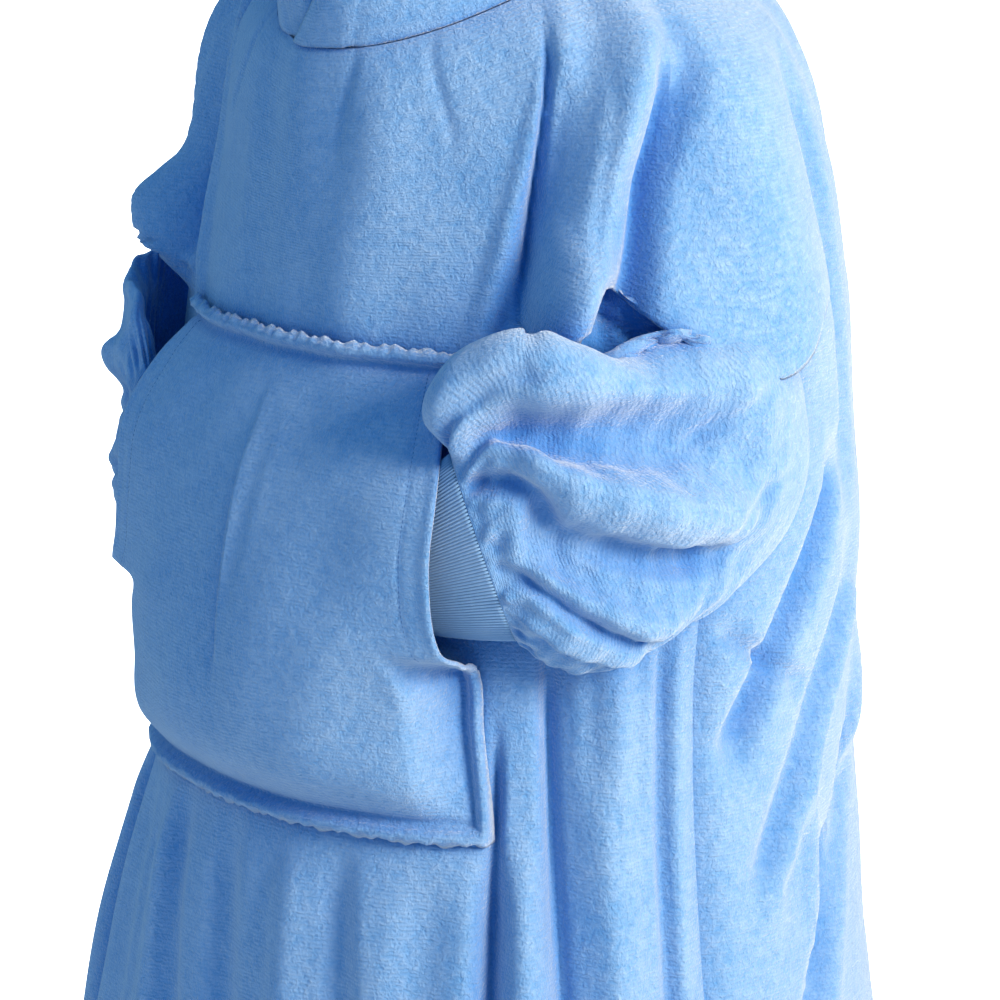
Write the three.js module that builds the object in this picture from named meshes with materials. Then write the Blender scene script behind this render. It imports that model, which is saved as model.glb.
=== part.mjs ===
// A wearable blanket hoodie of plush fleece, held in the pose in which it is worn, with
// both cuffs in the big front pocket. Sizes are in millimetres, +Z is up, the front looks
// towards -Y, and the wearer's left is +X. The origin is at the wearer's shoulders, on the
// upright axis of the body.
import * as THREE from "three";

const WALL = 3;
const SEAM_GAP = 0.3;
const SIDE_SEAM = 77;
const HEM_LEVEL = -945;
const FOLD_RADIUS = 270;
const POCKET_LIFT = 0.5;
const BODY_CLEARANCE = 2.5;

const ARMHOLE = { top: -264, bottom: -460, halfAngle: 16 };

// The body is a tube round the upright axis. Each row is one level of it, as its height at
// the side. Then come five radii, from the middle of the front to the middle of the back,
// 45 degrees apart, and how far the row stands above the side's height at front and back.
const BODY_ROWS = [
  { level: -24, front: 182, frontDiagonal: 158, side: 128, backDiagonal: 104, back: 92,
    frontRise: -66, backRise: 26 },
  { level: -38, front: 188, frontDiagonal: 176, side: 168, backDiagonal: 142, back: 118,
    frontRise: -66, backRise: 22 },
  { level: -62, front: 192, frontDiagonal: 190, side: 214, backDiagonal: 190, back: 150,
    frontRise: -62, backRise: 16 },
  { level: -100, front: 197, frontDiagonal: 200, side: 245, backDiagonal: 214, back: 176,
    frontRise: -52, backRise: 9 },
  { level: -170, front: 205, frontDiagonal: 208, side: 268, backDiagonal: 236, back: 202,
    frontRise: -28, backRise: 3 },
  { level: -264, front: 213, frontDiagonal: 226, side: 284, backDiagonal: 254, back: 222,
    frontRise: 0, backRise: 0 },
  { level: -362, front: 222, frontDiagonal: 238, side: 291, backDiagonal: 264, back: 238,
    frontRise: 0, backRise: 0 },
  { level: -460, front: 232, frontDiagonal: 243, side: 290, backDiagonal: 271, back: 250,
    frontRise: 0, backRise: 0 },
  { level: -560, front: 243, frontDiagonal: 248, side: 285, backDiagonal: 270, back: 258,
    frontRise: 0, backRise: 0 },
  { level: -645, front: 257, frontDiagonal: 266, side: 284, backDiagonal: 274, back: 262,
    frontRise: 0, backRise: 0 },
  { level: -740, front: 274, frontDiagonal: 294, side: 292, backDiagonal: 282, back: 268,
    frontRise: 0, backRise: 0 },
  { level: -850, front: 288, frontDiagonal: 320, side: 304, backDiagonal: 296, back: 278,
    frontRise: 0, backRise: 0 },
  { level: HEM_LEVEL, front: 298, frontDiagonal: 336, side: 314, backDiagonal: 306, back: 286,
    frontRise: 0, backRise: 0 },
];
const RADII = ["front", "frontDiagonal", "side", "backDiagonal", "back"];

// Each fold runs from one point of the body to another. The angles are from the middle of
// the front, the depth is outward where it is above zero, and a fold with a mirror is on
// both sides.
const FOLDS = [
  { name: "chest edge", fromAngle: 60, fromZ: -60, toAngle: 42.5, toZ: -279,
    width: 46, depth: 7, mirror: true },
  { name: "chest crease", fromAngle: 57, fromZ: -113, toAngle: 48, toZ: -250,
    width: 42, depth: -10, mirror: true },
  { name: "roll in front of the arm", fromAngle: 73, fromZ: -60, toAngle: 56, toZ: -240,
    width: 68, depth: 23, mirror: true },
  { name: "end of the roll", fromAngle: 59, fromZ: -218, toAngle: 52.5, toZ: -276,
    width: 76, depth: 32, fade: 30, mirror: true },
  { name: "crease behind the roll", fromAngle: 80, fromZ: -90, toAngle: 66, toZ: -225,
    width: 36, depth: -12, mirror: true },
  { name: "arm", fromAngle: 88, fromZ: -90, toAngle: 93, toZ: -290,
    width: 150, depth: 12, mirror: true },
  { name: "crease behind the arm", fromAngle: 103, fromZ: -120, toAngle: 110, toZ: -400,
    width: 44, depth: -10, mirror: true },
  { name: "elbow drape", fromAngle: 112, fromZ: -480, toAngle: 90, toZ: -680,
    width: 56, depth: -12, mirror: true },
  { name: "drape edge", fromAngle: 122, fromZ: -560, toAngle: 98, toZ: -860,
    width: 54, depth: 9, mirror: true },
  { name: "crease under the drape", fromAngle: 106, fromZ: -700, toAngle: 92, toZ: -900,
    width: 44, depth: -13, mirror: true },
  { name: "side seam pull", fromAngle: 77, fromZ: -520, toAngle: 77, toZ: HEM_LEVEL,
    width: 40, depth: -6, mirror: true },
  { name: "side ridge", fromAngle: 64, fromZ: -520, toAngle: 64, toZ: HEM_LEVEL,
    width: 44, depth: 9, mirror: true },
  { name: "side crease", fromAngle: 55, fromZ: -520, toAngle: 56, toZ: HEM_LEVEL,
    width: 40, depth: -10, mirror: true },
  { name: "pocket side ridge", fromAngle: 49.5, fromZ: -680, toAngle: 49.5, toZ: HEM_LEVEL,
    width: 36, depth: 10, mirror: true },
  { name: "fold below the pocket corner", fromAngle: 45, fromZ: -690, toAngle: 43, toZ: HEM_LEVEL,
    width: 36, depth: -14, mirror: true },
  { name: "front valley", fromAngle: 35, fromZ: -700, toAngle: 31, toZ: HEM_LEVEL,
    width: 60, depth: -8, mirror: true },
  { name: "front crease", fromAngle: 20, fromZ: -690, toAngle: 25, toZ: HEM_LEVEL,
    width: 44, depth: -9, mirror: false },
  { name: "front band", fromAngle: 11, fromZ: -690, toAngle: 13, toZ: HEM_LEVEL,
    width: 56, depth: 8, mirror: false },
  { name: "middle crease", fromAngle: -4, fromZ: -690, toAngle: 0, toZ: HEM_LEVEL,
    width: 50, depth: -8, mirror: false },
  { name: "far crease", fromAngle: -18, fromZ: -690, toAngle: -11, toZ: HEM_LEVEL,
    width: 44, depth: -8, mirror: false },
  { name: "back middle fold", fromAngle: 178, fromZ: -330, toAngle: 181, toZ: HEM_LEVEL,
    width: 90, depth: -10, mirror: false },
  { name: "back fold", fromAngle: 152, fromZ: -300, toAngle: 150, toZ: HEM_LEVEL,
    width: 80, depth: 9, mirror: true },
  { name: "back crease", fromAngle: 134, fromZ: -420, toAngle: 131, toZ: HEM_LEVEL,
    width: 64, depth: -10, mirror: true },
];

// The pocket's free or stitched side, as an angle from the middle of the front at a height.
// Below the opening it includes the flat border outside the stitches.
const POCKET_SIDE = [
  { z: -24, angle: 52 },
  { z: -84, angle: 53 },
  { z: -184, angle: 46 },
  { z: -292, angle: 38.4 },
  { z: -388, angle: 37.2 },
  { z: -437, angle: 36.6 },
  { z: -490, angle: 38.0 },
  { z: -520, angle: 42.6 },
  { z: -560, angle: 43.4 },
  { z: -645, angle: 45.2 },
  { z: HEM_LEVEL, angle: 46 },
];
const POCKET = { top: -292, topStitch: -306, bottomStitch: -630, bottom: -645,
  borderAngle: 3.2 };

// The line of the roll in front of the arm. The front panel's columns gather along it.
const ROLL_LINE = [
  { z: -24, angle: 68 },
  { z: -84, angle: 70 },
  { z: -232, angle: 57 },
  { z: -330, angle: 55 },
  { z: -500, angle: 60 },
  { z: HEM_LEVEL, angle: 61 },
];

// How far the pocket stands off the front panel, in its middle and at its opening.
const POCKET_BULGE = [
  { z: -306, middle: 0, opening: 0 },
  { z: -336, middle: 12, opening: 26 },
  { z: -388, middle: 32, opening: 62 },
  { z: -437, middle: 43, opening: 66 },
  { z: -472, middle: 48, opening: 62 },
  { z: -505, middle: 50, opening: 58 },
  { z: -560, middle: 46, opening: 30 },
  { z: -600, middle: 32, opening: 20 },
  { z: -630, middle: 0, opening: 0 },
];

// The left sleeve's rings fan round its inner side, from the armhole to the wrist. Lean is
// how far the top of a ring is ahead of its bottom.
const SLEEVE_RINGS = [
  { innerX: 237, innerY: -140, outerX: 308, outerY: 10, top: -256, bottom: -469, lean: 0 },
  { innerX: 234, innerY: -150, outerX: 312, outerY: -20, top: -254, bottom: -478, lean: 2 },
  { innerX: 228, innerY: -160, outerX: 311, outerY: -56, top: -260, bottom: -489, lean: 8 },
  { innerX: 220, innerY: -168, outerX: 303, outerY: -98, top: -272, bottom: -503, lean: 16 },
  { innerX: 210, innerY: -173, outerX: 289, outerY: -140, top: -284, bottom: -512, lean: 26 },
  { innerX: 199, innerY: -176, outerX: 264, outerY: -176, top: -292, bottom: -511, lean: 36 },
  { innerX: 188, innerY: -180, outerX: 234, outerY: -201, top: -300, bottom: -503, lean: 44 },
  { innerX: 176, innerY: -185, outerX: 205, outerY: -215, top: -353, bottom: -488, lean: 46 },
];
const RING_STEPS = [1, 1.6, 2.3, 3, 3.7, 4.4, 5, 5.6, 6.2, 6.7, 7];

// Grooves between the sleeve's rolls. Angles go round a ring: 0 is the top, 90 the outside
// and 180 the bottom.
const SLEEVE_GROOVES = [
  { name: "hollow over the upper roll", fromRing: 1.8, fromAngle: 84, toRing: 6.2, toAngle: 40,
    width: 40, depth: -13 },
  { name: "upper roll", fromRing: 2.2, fromAngle: 100, toRing: 6.2, toAngle: 62,
    width: 40, depth: 9 },
  { name: "between the rolls, behind", fromRing: 1, fromAngle: 130, toRing: 4, toAngle: 112,
    width: 38, depth: -14 },
  { name: "between the rolls, in front", fromRing: 4, fromAngle: 112, toRing: 6, toAngle: 90,
    width: 42, depth: -20 },
  { name: "lower roll", fromRing: 3, fromAngle: 140, toRing: 6.4, toAngle: 122,
    width: 44, depth: 12 },
];

const CUFF_END = { innerX: 133, innerY: -217, outerX: 146, outerY: -238,
  top: -402, bottom: -488, lean: 36 };

// The hood's left half: each row goes from its front edge round the side to the middle seam,
// bent by two guide points. The first row is the neck seam and the last one is the front
// edge over the forehead.
const HOOD_ROWS = [
  { edgeX: -20, edgeY: -181, edgeZ: -90, sideX: 160, sideY: -160, sideZ: -60,
    rearX: 150, rearY: 92, rearZ: -12, seamY: 92, seamZ: 2 },
  { edgeX: 24, edgeY: -186, edgeZ: -28, sideX: 132, sideY: -165, sideZ: -6,
    rearX: 140, rearY: 112, rearZ: 56, seamY: 110, seamZ: 66 },
  { edgeX: 66, edgeY: -184, edgeZ: 42, sideX: 146, sideY: -128, sideZ: 62,
    rearX: 154, rearY: 140, rearZ: 126, seamY: 128, seamZ: 136 },
  { edgeX: 92, edgeY: -182, edgeZ: 110, sideX: 154, sideY: -120, sideZ: 138,
    rearX: 158, rearY: 140, rearZ: 212, seamY: 124, seamZ: 212 },
  { edgeX: 100, edgeY: -186, edgeZ: 172, sideX: 150, sideY: -132, sideZ: 210,
    rearX: 140, rearY: 84, rearZ: 288, seamY: 62, seamZ: 282 },
  { edgeX: 98, edgeY: -186, edgeZ: 212, sideX: 126, sideY: -146, sideZ: 262,
    rearX: 98, rearY: -30, rearZ: 312, seamY: -42, seamZ: 304 },
  { edgeX: 90, edgeY: -184, edgeZ: 234, sideX: 90, sideY: -176, sideZ: 280,
    rearX: 50, rearY: -158, rearZ: 294, seamY: -152, seamZ: 294 },
];
const HOOD_OVERLAP = { out: 3.4, in: -3, full: 26, none: 60 };

const ROWS = [
  -24, -33, -46, -62, -84, -112, -146, -184, -224,
  -264, -269, -280, -292, -306, -318, -336, -362, -388, -414, -437, -453, -460,
  -478, -494, -508, -522, -542, -560, -600, -630, -645, -690, -740, -795, -850, -900, HEM_LEVEL,
];
const POCKET_COLUMNS = 6;
const ROLL_COLUMNS = 6;
const SIDE_COLUMNS = 5;
const FRONT_COLUMNS = ROLL_COLUMNS + SIDE_COLUMNS;
const BACK_COLUMNS = 12;
const HOOD_STEPS = [0, 0.35, 1, 1.7, 2.4, 3.1, 3.8, 4.5, 5.2, 6];

function radians(degrees) {
  return degrees * Math.PI / 180;
}

function blend(from, to, share) {
  return from + (to - from) * share;
}

// Goes smoothly from 0 to 1 between two values.
function ease(start, end, value) {
  const share = Math.min(Math.max((value - start) / (end - start), 0), 1);
  return share * share * (3 - 2 * share);
}

// A smooth curve through the rows of a table, by their key column.
function alongTable(table, key, column, value) {
  const last = table.length - 1;
  const falling = table[last][key] < table[0][key];
  let place = 0;
  while (place < last - 1 && (falling ? value < table[place + 1][key] : value > table[place + 1][key])) {
    place += 1;
  }
  const from = table[place];
  const to = table[place + 1];
  const before = table[Math.max(place - 1, 0)];
  const after = table[Math.min(place + 2, last)];
  const span = to[key] - from[key];
  const share = Math.min(Math.max((value - from[key]) / span, 0), 1);
  const fromSlope = (to[column] - before[column]) / (to[key] - before[key]) * span;
  const toSlope = (after[column] - from[column]) / (after[key] - from[key]) * span;
  const rest = 1 - share;
  return rest * rest * (1 + 2 * share) * from[column] + share * rest * rest * fromSlope
    + share * share * (3 - 2 * share) * to[column] - share * share * rest * toSlope;
}

// A smooth curve through a table whose rows are one step apart.
function alongSteps(table, column, step) {
  const last = table.length - 1;
  const place = Math.min(Math.floor(step), last - 1);
  const share = step - place;
  const from = table[place][column];
  const to = table[place + 1][column];
  const before = place > 0 ? table[place - 1][column] : 2 * from - to;
  const after = place < last - 1 ? table[place + 2][column] : 2 * to - from;
  return from + 0.5 * share * (to - before
    + share * (2 * before - 5 * from + 4 * to - after
    + share * (3 * (from - to) + after - before)));
}

// The radius of the body without its folds. The columns mirror at the front and the back.
function plainRadius(angle, level) {
  const turned = Math.abs(((angle + 180) % 360 + 360) % 360 - 180);
  const place = Math.min(Math.floor(turned / 45), 3);
  const share = turned / 45 - place;
  const mirrored = (index) => RADII[index < 0 ? -index : index > 4 ? 8 - index : index];
  const radius = (index) => alongTable(BODY_ROWS, "level", mirrored(index), level);
  const before = radius(place - 1);
  const from = radius(place);
  const to = radius(place + 1);
  const after = radius(place + 2);
  return from + 0.5 * share * (to - before
    + share * (2 * before - 5 * from + 4 * to - after
    + share * (3 * (from - to) + after - before)));
}

// A soft bump that is 1 on a line and 0 at half the width from it.
function softBump(distance, width) {
  const share = Math.min(Math.abs(distance) / (width * 0.5), 1);
  return 0.5 * (1 + Math.cos(Math.PI * share));
}

function foldHeight(fold, angle, z) {
  const fade = fold.fade ?? 55;
  const reach = ease(fold.fromZ + fade, fold.fromZ - fade * 0.4, z)
    * ease(fold.toZ - fade, fold.toZ + fade * 0.4, z);
  const open = fold.toZ <= HEM_LEVEL ? ease(fold.fromZ + fade, fold.fromZ - fade * 0.4, z) : reach;
  if (open === 0) {
    return 0;
  }
  const share = Math.min(Math.max((z - fold.fromZ) / (fold.toZ - fold.fromZ), 0), 1);
  const middle = blend(fold.fromAngle, fold.toAngle, share);
  const turned = ((angle - middle + 180) % 360 + 360) % 360 - 180;
  return fold.depth * open * softBump(radians(turned) * FOLD_RADIUS, fold.width);
}

function foldsHeight(angle, z) {
  let height = 0;
  for (const fold of FOLDS) {
    height += foldHeight(fold, angle, z);
    if (fold.mirror) {
      height += foldHeight(fold, -angle, z);
    }
  }
  return height;
}

function bodyZ(angle, level) {
  const weight = Math.cos(radians(angle)) ** 2;
  const column = Math.cos(radians(angle)) > 0 ? "frontRise" : "backRise";
  return level + weight * alongTable(BODY_ROWS, "level", column, level);
}

function bodyRadius(angle, level) {
  return plainRadius(angle, level) + foldsHeight(angle, bodyZ(angle, level));
}

// A point of the body's outside.
function bodyPoint(angle, level) {
  const radius = bodyRadius(angle, level);
  const turn = radians(angle);
  return new THREE.Vector3(radius * Math.sin(turn), -radius * Math.cos(turn), bodyZ(angle, level));
}

// The direction straight out of the cloth, from the points on both sides.
function outwardAt(pointAt, across, along, acrossStep, alongStep) {
  const right = pointAt(across + acrossStep, along).sub(pointAt(across - acrossStep, along));
  const up = pointAt(across, along + alongStep).sub(pointAt(across, along - alongStep));
  return right.cross(up).normalize();
}

function bodyOutward(angle, level) {
  return outwardAt(bodyPoint, angle, Math.min(Math.max(level, HEM_LEVEL + 1), -25), 0.5, 1);
}

// Half the armhole's angle at a level, 0 above and below the armhole.
function armholeHalf(level) {
  const middle = (ARMHOLE.top + ARMHOLE.bottom) / 2;
  const half = (ARMHOLE.top - ARMHOLE.bottom) / 2;
  const share = Math.min(Math.abs(level - middle) / half, 1);
  return ARMHOLE.halfAngle * Math.sqrt(1 - share * share);
}

function seamHalfGap(level) {
  return SEAM_GAP / 2 / plainRadius(SIDE_SEAM, level) * 180 / Math.PI;
}

function frontSide(level) {
  return SIDE_SEAM - armholeHalf(level) - seamHalfGap(level);
}

function backSide(level) {
  return SIDE_SEAM + armholeHalf(level) + seamHalfGap(level);
}

function pocketSide(level) {
  return alongTable(POCKET_SIDE, "z", "angle", level);
}

// The angle of the front panel's column, counted from the middle. The first columns go with
// the pocket and the rest reach the side.
function frontAngle(column, level) {
  const side = column < 0 ? -1 : 1;
  const count = Math.abs(column);
  if (count <= POCKET_COLUMNS) {
    return side * pocketSide(level) * count / POCKET_COLUMNS;
  }
  const roll = Math.min(alongTable(ROLL_LINE, "z", "angle", level), frontSide(level) - 1);
  const past = count - POCKET_COLUMNS;
  const angle = past <= ROLL_COLUMNS
    ? blend(pocketSide(level), roll, past / ROLL_COLUMNS)
    : blend(roll, frontSide(level), (past - ROLL_COLUMNS) / SIDE_COLUMNS);
  return side * angle;
}

// The angle of the back panel's column. Only the columns near the side give way to the
// armhole.
function backAngle(column, level) {
  const fromSide = Math.min(column, 2 * BACK_COLUMNS - column) / BACK_COLUMNS;
  const giveWay = (backSide(level) - SIDE_SEAM) * (1 - fromSide) ** 3;
  const angle = blend(SIDE_SEAM, 180, fromSide) + giveWay;
  return column <= BACK_COLUMNS ? angle : 360 - angle;
}

// A closed mesh from two grids of points, the outside and the inside of the cloth. A ring
// has its last column joined to its first one.
function clothSolid(outside, inside, isRing) {
  const rows = outside.length;
  const columns = outside[0].length;
  const positions = [];
  for (const grid of [outside, inside]) {
    for (const row of grid) {
      for (const point of row) {
        positions.push(point.x, point.y, point.z);
      }
    }
  }
  const indices = [];
  const quad = (a, b, c, d) => indices.push(a, b, c, a, c, d);
  const outer = (row, column) => row * columns + column % columns;
  const inner = (row, column) => rows * columns + outer(row, column);
  const spans = isRing ? columns : columns - 1;
  for (let row = 0; row < rows - 1; row += 1) {
    for (let column = 0; column < spans; column += 1) {
      quad(outer(row, column), outer(row + 1, column), outer(row + 1, column + 1), outer(row, column + 1));
      quad(inner(row, column), inner(row, column + 1), inner(row + 1, column + 1), inner(row + 1, column));
    }
  }
  for (let column = 0; column < spans; column += 1) {
    quad(outer(0, column), outer(0, column + 1), inner(0, column + 1), inner(0, column));
    const last = rows - 1;
    quad(outer(last, column), inner(last, column), inner(last, column + 1), outer(last, column + 1));
  }
  if (!isRing) {
    for (let row = 0; row < rows - 1; row += 1) {
      const last = columns - 1;
      quad(outer(row, 0), inner(row, 0), inner(row + 1, 0), outer(row + 1, 0));
      quad(outer(row, last), outer(row + 1, last), inner(row + 1, last), inner(row, last));
    }
  }
  const geometry = new THREE.BufferGeometry();
  geometry.setAttribute("position", new THREE.Float32BufferAttribute(positions, 3));
  geometry.setIndex(facingOut(positions, indices));
  return geometry;
}

// Turns all triangles over where they would look inward.
function facingOut(positions, indices) {
  let volume = 0;
  const corner = (index) => new THREE.Vector3().fromArray(positions, index * 3);
  for (let place = 0; place < indices.length; place += 3) {
    const first = corner(indices[place]);
    const second = corner(indices[place + 1]);
    const third = corner(indices[place + 2]);
    volume += first.dot(second.cross(third));
  }
  if (volume > 0) {
    return indices;
  }
  const turned = [];
  for (let place = 0; place < indices.length; place += 3) {
    turned.push(indices[place], indices[place + 2], indices[place + 1]);
  }
  return turned;
}

// A body panel: the points of its columns at each level, and the same ones a wall deeper.
function panelSolid(angleAt, firstColumn, lastColumn) {
  const outside = [];
  const inside = [];
  for (const level of ROWS) {
    const outerRow = [];
    const innerRow = [];
    for (let column = firstColumn; column <= lastColumn; column += 1) {
      const angle = angleAt(column, level);
      const point = bodyPoint(angle, level);
      outerRow.push(point);
      innerRow.push(point.clone().addScaledVector(bodyOutward(angle, level), -WALL));
    }
    outside.push(outerRow);
    inside.push(innerRow);
  }
  return clothSolid(outside, inside, false);
}

// How far the pocket's inside stands off the panel. The sides are flat on it below the
// opening, and the border outside the stitches is flat all round.
function pocketStandoff(angle, z) {
  if (z >= POCKET.topStitch || z <= POCKET.bottomStitch) {
    return 0;
  }
  const side = pocketSide(z);
  const middle = alongTable(POCKET_BULGE, "z", "middle", z);
  const opening = alongTable(POCKET_BULGE, "z", "opening", z);
  const share = Math.min(Math.abs(angle) / side, 1);
  const full = blend(middle, opening, share * share);
  const stitched = ease(-495, -522, z);
  const lift = ease(side - POCKET.borderAngle, side - POCKET.borderAngle - 9, Math.abs(angle));
  return Math.max(full * blend(1, lift, stitched), 0);
}

function pocketPoint(angle, level) {
  const point = bodyPoint(angle, level);
  const outward = new THREE.Vector3(Math.sin(radians(angle)), -Math.cos(radians(angle)), 0);
  return point.addScaledVector(outward, POCKET_LIFT + pocketStandoff(angle, level));
}

function pocketSolid() {
  const outside = [];
  const inside = [];
  for (const level of ROWS.filter((row) => row <= POCKET.top && row >= POCKET.bottom)) {
    const outerRow = [];
    const innerRow = [];
    for (let column = -POCKET_COLUMNS; column <= POCKET_COLUMNS; column += 1) {
      const angle = frontAngle(column, level);
      const point = pocketPoint(angle, level);
      innerRow.push(point);
      outerRow.push(point.clone().addScaledVector(outwardAt(pocketPoint, angle, level, 1, 3), WALL));
    }
    outside.push(outerRow);
    inside.push(innerRow);
  }
  return clothSolid(outside, inside, false);
}

// Moves a point of a sleeve straight out until it is clear of the body.
function keepClear(point, clearance) {
  const radius = Math.hypot(point.x, point.y);
  const angle = Math.atan2(point.x, -point.y) * 180 / Math.PI;
  const least = bodyRadius(angle, Math.min(Math.max(point.z, HEM_LEVEL), -40)) + clearance;
  if (radius < least) {
    point.x *= least / radius;
    point.y *= least / radius;
  }
  return point;
}

function groovesHeight(ring, angle) {
  let height = 0;
  for (const groove of SLEEVE_GROOVES) {
    const reach = ease(groove.fromRing - 0.6, groove.fromRing + 0.8, ring)
      * ease(groove.toRing + 0.4, groove.toRing - 0.8, ring);
    const share = (ring - groove.fromRing) / (groove.toRing - groove.fromRing);
    const middle = blend(groove.fromAngle, groove.toAngle, Math.min(Math.max(share, 0), 1));
    height += groove.depth * reach * softBump(angle - middle, groove.width);
  }
  return height;
}

// A point on an upright ring between an inner and an outer side, with the top led forward.
function ringPoint(ring, angle, height) {
  const turn = radians(angle);
  const acrossX = (ring.outerX - ring.innerX) / 2;
  const acrossY = (ring.outerY - ring.innerY) / 2;
  const half = Math.hypot(acrossX, acrossY);
  const tall = (ring.top - ring.bottom) / 2;
  const wide = 1 + height / half;
  const high = 1 + height / tall;
  const ahead = ring.lean / 2 * Math.cos(turn);
  return new THREE.Vector3(
    ring.innerX + acrossX * (1 + Math.sin(turn) * wide) + acrossY / half * ahead,
    ring.innerY + acrossY * (1 + Math.sin(turn) * wide) - acrossX / half * ahead,
    (ring.top + ring.bottom) / 2 + tall * Math.cos(turn) * high);
}

function sleeveRing(step) {
  const ring = {};
  for (const column of Object.keys(SLEEVE_RINGS[0])) {
    ring[column] = alongSteps(SLEEVE_RINGS, column, step);
  }
  return ring;
}

// The armhole's levels and angles round its edge, from the top down the back and up the
// front, as the turns of a ring.
function armholeTurns() {
  const levels = ROWS.filter((row) => row <= ARMHOLE.top && row >= ARMHOLE.bottom);
  const middle = (ARMHOLE.top + ARMHOLE.bottom) / 2;
  const half = (ARMHOLE.top - ARMHOLE.bottom) / 2;
  const down = levels.map((level) => Math.acos((level - middle) / half) * 180 / Math.PI);
  const up = down.slice(1, -1).reverse().map((turn) => 360 - turn);
  return down.concat(up);
}

// A point on the armhole's edge, a little inside it and moved out of the body by a distance.
function armholePoint(turn, distance) {
  const middle = (ARMHOLE.top + ARMHOLE.bottom) / 2;
  const half = (ARMHOLE.top - ARMHOLE.bottom) / 2;
  const inset = 1 - SEAM_GAP * 2 / half;
  const level = middle + half * inset * Math.cos(radians(turn));
  const angle = SIDE_SEAM + ARMHOLE.halfAngle * inset * Math.sin(radians(turn));
  const point = bodyPoint(angle, level);
  return point.addScaledVector(bodyOutward(angle, level), distance);
}

// A turn on a later ring: the cloth of the armhole's top and bottom fans out to the outside.
function fannedTurn(turn, step) {
  return turn + 22 * ease(-0.4, 3, step) * Math.cos(radians(turn));
}

function sleevePoints() {
  const turns = armholeTurns();
  const rings = [
    turns.map((turn) => armholePoint(turn, -WALL)),
    turns.map((turn) => armholePoint(turn, 6 + 3 * Math.sin(radians(turn)))),
  ];
  for (const step of RING_STEPS) {
    const ring = sleeveRing(step);
    const clearance = BODY_CLEARANCE + 1.5 + 8 * ease(2.4, 1, step);
    rings.push(turns.map((turn) => {
      const fanned = fannedTurn(turn, step);
      return keepClear(ringPoint(ring, fanned, groovesHeight(step, fanned)), clearance);
    }));
  }
  return rings;
}

// The way out of the cloth at each point of a tube. Where the tube meets another piece, its
// end stays flat.
function tubeOutward(rings) {
  const last = rings.length - 1;
  const count = rings[0].length;
  return rings.map((ring, row) => ring.map((point, column) => {
    const around = ring[(column + 1) % count].clone().sub(ring[(column + count - 1) % count]);
    const along = rings[Math.min(row + 1, last)][column].clone().sub(rings[Math.max(row - 1, 0)][column]);
    const outward = around.clone().cross(along).normalize();
    if (row === 0 || row === last) {
      const quarter = Math.floor(count / 4);
      const wide = ring[quarter].clone().sub(ring[3 * quarter]);
      const axis = ring[0].clone().sub(ring[2 * quarter]).cross(wide).normalize();
      outward.addScaledVector(axis, -axis.dot(outward)).normalize();
    }
    return outward;
  }));
}

// The inside of a closed tube: its points moved in by the wall.
function tubeInside(rings) {
  const outward = tubeOutward(rings);
  const ring = rings[1];
  const middle = ring.reduce((sum, point) => sum.add(point), new THREE.Vector3())
    .divideScalar(ring.length);
  const away = ring.reduce((sum, point, column) =>
    sum + outward[1][column].dot(point.clone().sub(middle)), 0);
  const side = away > 0 ? -WALL : WALL;
  return rings.map((row, place) => row.map((point, column) =>
    point.clone().addScaledVector(outward[place][column], side)));
}

function sleeveSolid() {
  const rings = sleevePoints();
  return clothSolid(rings, tubeInside(rings), true);
}

function cuffSolid() {
  const turns = armholeTurns().map((turn) => fannedTurn(turn, SLEEVE_RINGS.length));
  const wrist = sleeveRing(SLEEVE_RINGS.length - 1);
  const rings = [0, 0.35, 0.7, 1].map((share) => {
    const ring = {};
    for (const column of Object.keys(wrist)) {
      ring[column] = blend(wrist[column], CUFF_END[column], share);
    }
    return turns.map((turn) => keepClear(ringPoint(ring, turn, 0), BODY_CLEARANCE + 1.5));
  });
  const ahead = rings[1][0].clone().sub(rings[0][0]).setLength(SEAM_GAP);
  rings[0].forEach((point) => point.add(ahead));
  return clothSolid(rings, tubeInside(rings), true);
}

// A curve from one point to another that leans towards two guide points.
function guidedCurve(from, firstGuide, secondGuide, to, share) {
  const rest = 1 - share;
  return new THREE.Vector3()
    .addScaledVector(from, rest ** 3)
    .addScaledVector(firstGuide, 3 * rest * rest * share)
    .addScaledVector(secondGuide, 3 * rest * share * share)
    .addScaledVector(to, share ** 3);
}

function hoodCurve(share, step) {
  const value = (column) => alongSteps(HOOD_ROWS, column, step);
  return guidedCurve(
    new THREE.Vector3(value("edgeX"), value("edgeY"), value("edgeZ")),
    new THREE.Vector3(value("sideX"), value("sideY"), value("sideZ")),
    new THREE.Vector3(value("rearX"), value("rearY"), value("rearZ")),
    new THREE.Vector3(0, value("seamY"), value("seamZ")), share);
}

// The angles at which the hood meets the panels' columns round half the neck. The first one
// is past the middle, where the two halves cross over.
function neckAngles() {
  const level = ROWS[0];
  const angles = [];
  for (let column = -1; column <= POCKET_COLUMNS + FRONT_COLUMNS; column += 1) {
    angles.push(frontAngle(column, level));
  }
  for (let column = 1; column <= BACK_COLUMNS; column += 1) {
    angles.push(backAngle(column, level));
  }
  return angles;
}

// A point of a hood half. Near the neck it comes onto the body's neckline, and in front it
// is moved over or under the other half.
function hoodPoint(angle, step, overlap) {
  const first = neckAngles()[0];
  const share = (angle - first) / (180 - first);
  const point = hoodCurve(share, step);
  const neck = bodyPoint(angle, ROWS[0]);
  neck.z += SEAM_GAP;
  const pull = Math.max(1 - step / 2.2, 0) ** 2;
  point.add(neck.sub(hoodCurve(share, 0)).multiplyScalar(pull));
  const near = ease(HOOD_OVERLAP.none, HOOD_OVERLAP.full, Math.abs(point.x))
    * (point.y < 0 ? 1 : 0) * ease(1.6, 1, step);
  point.y -= overlap * near;
  return point;
}

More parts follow.
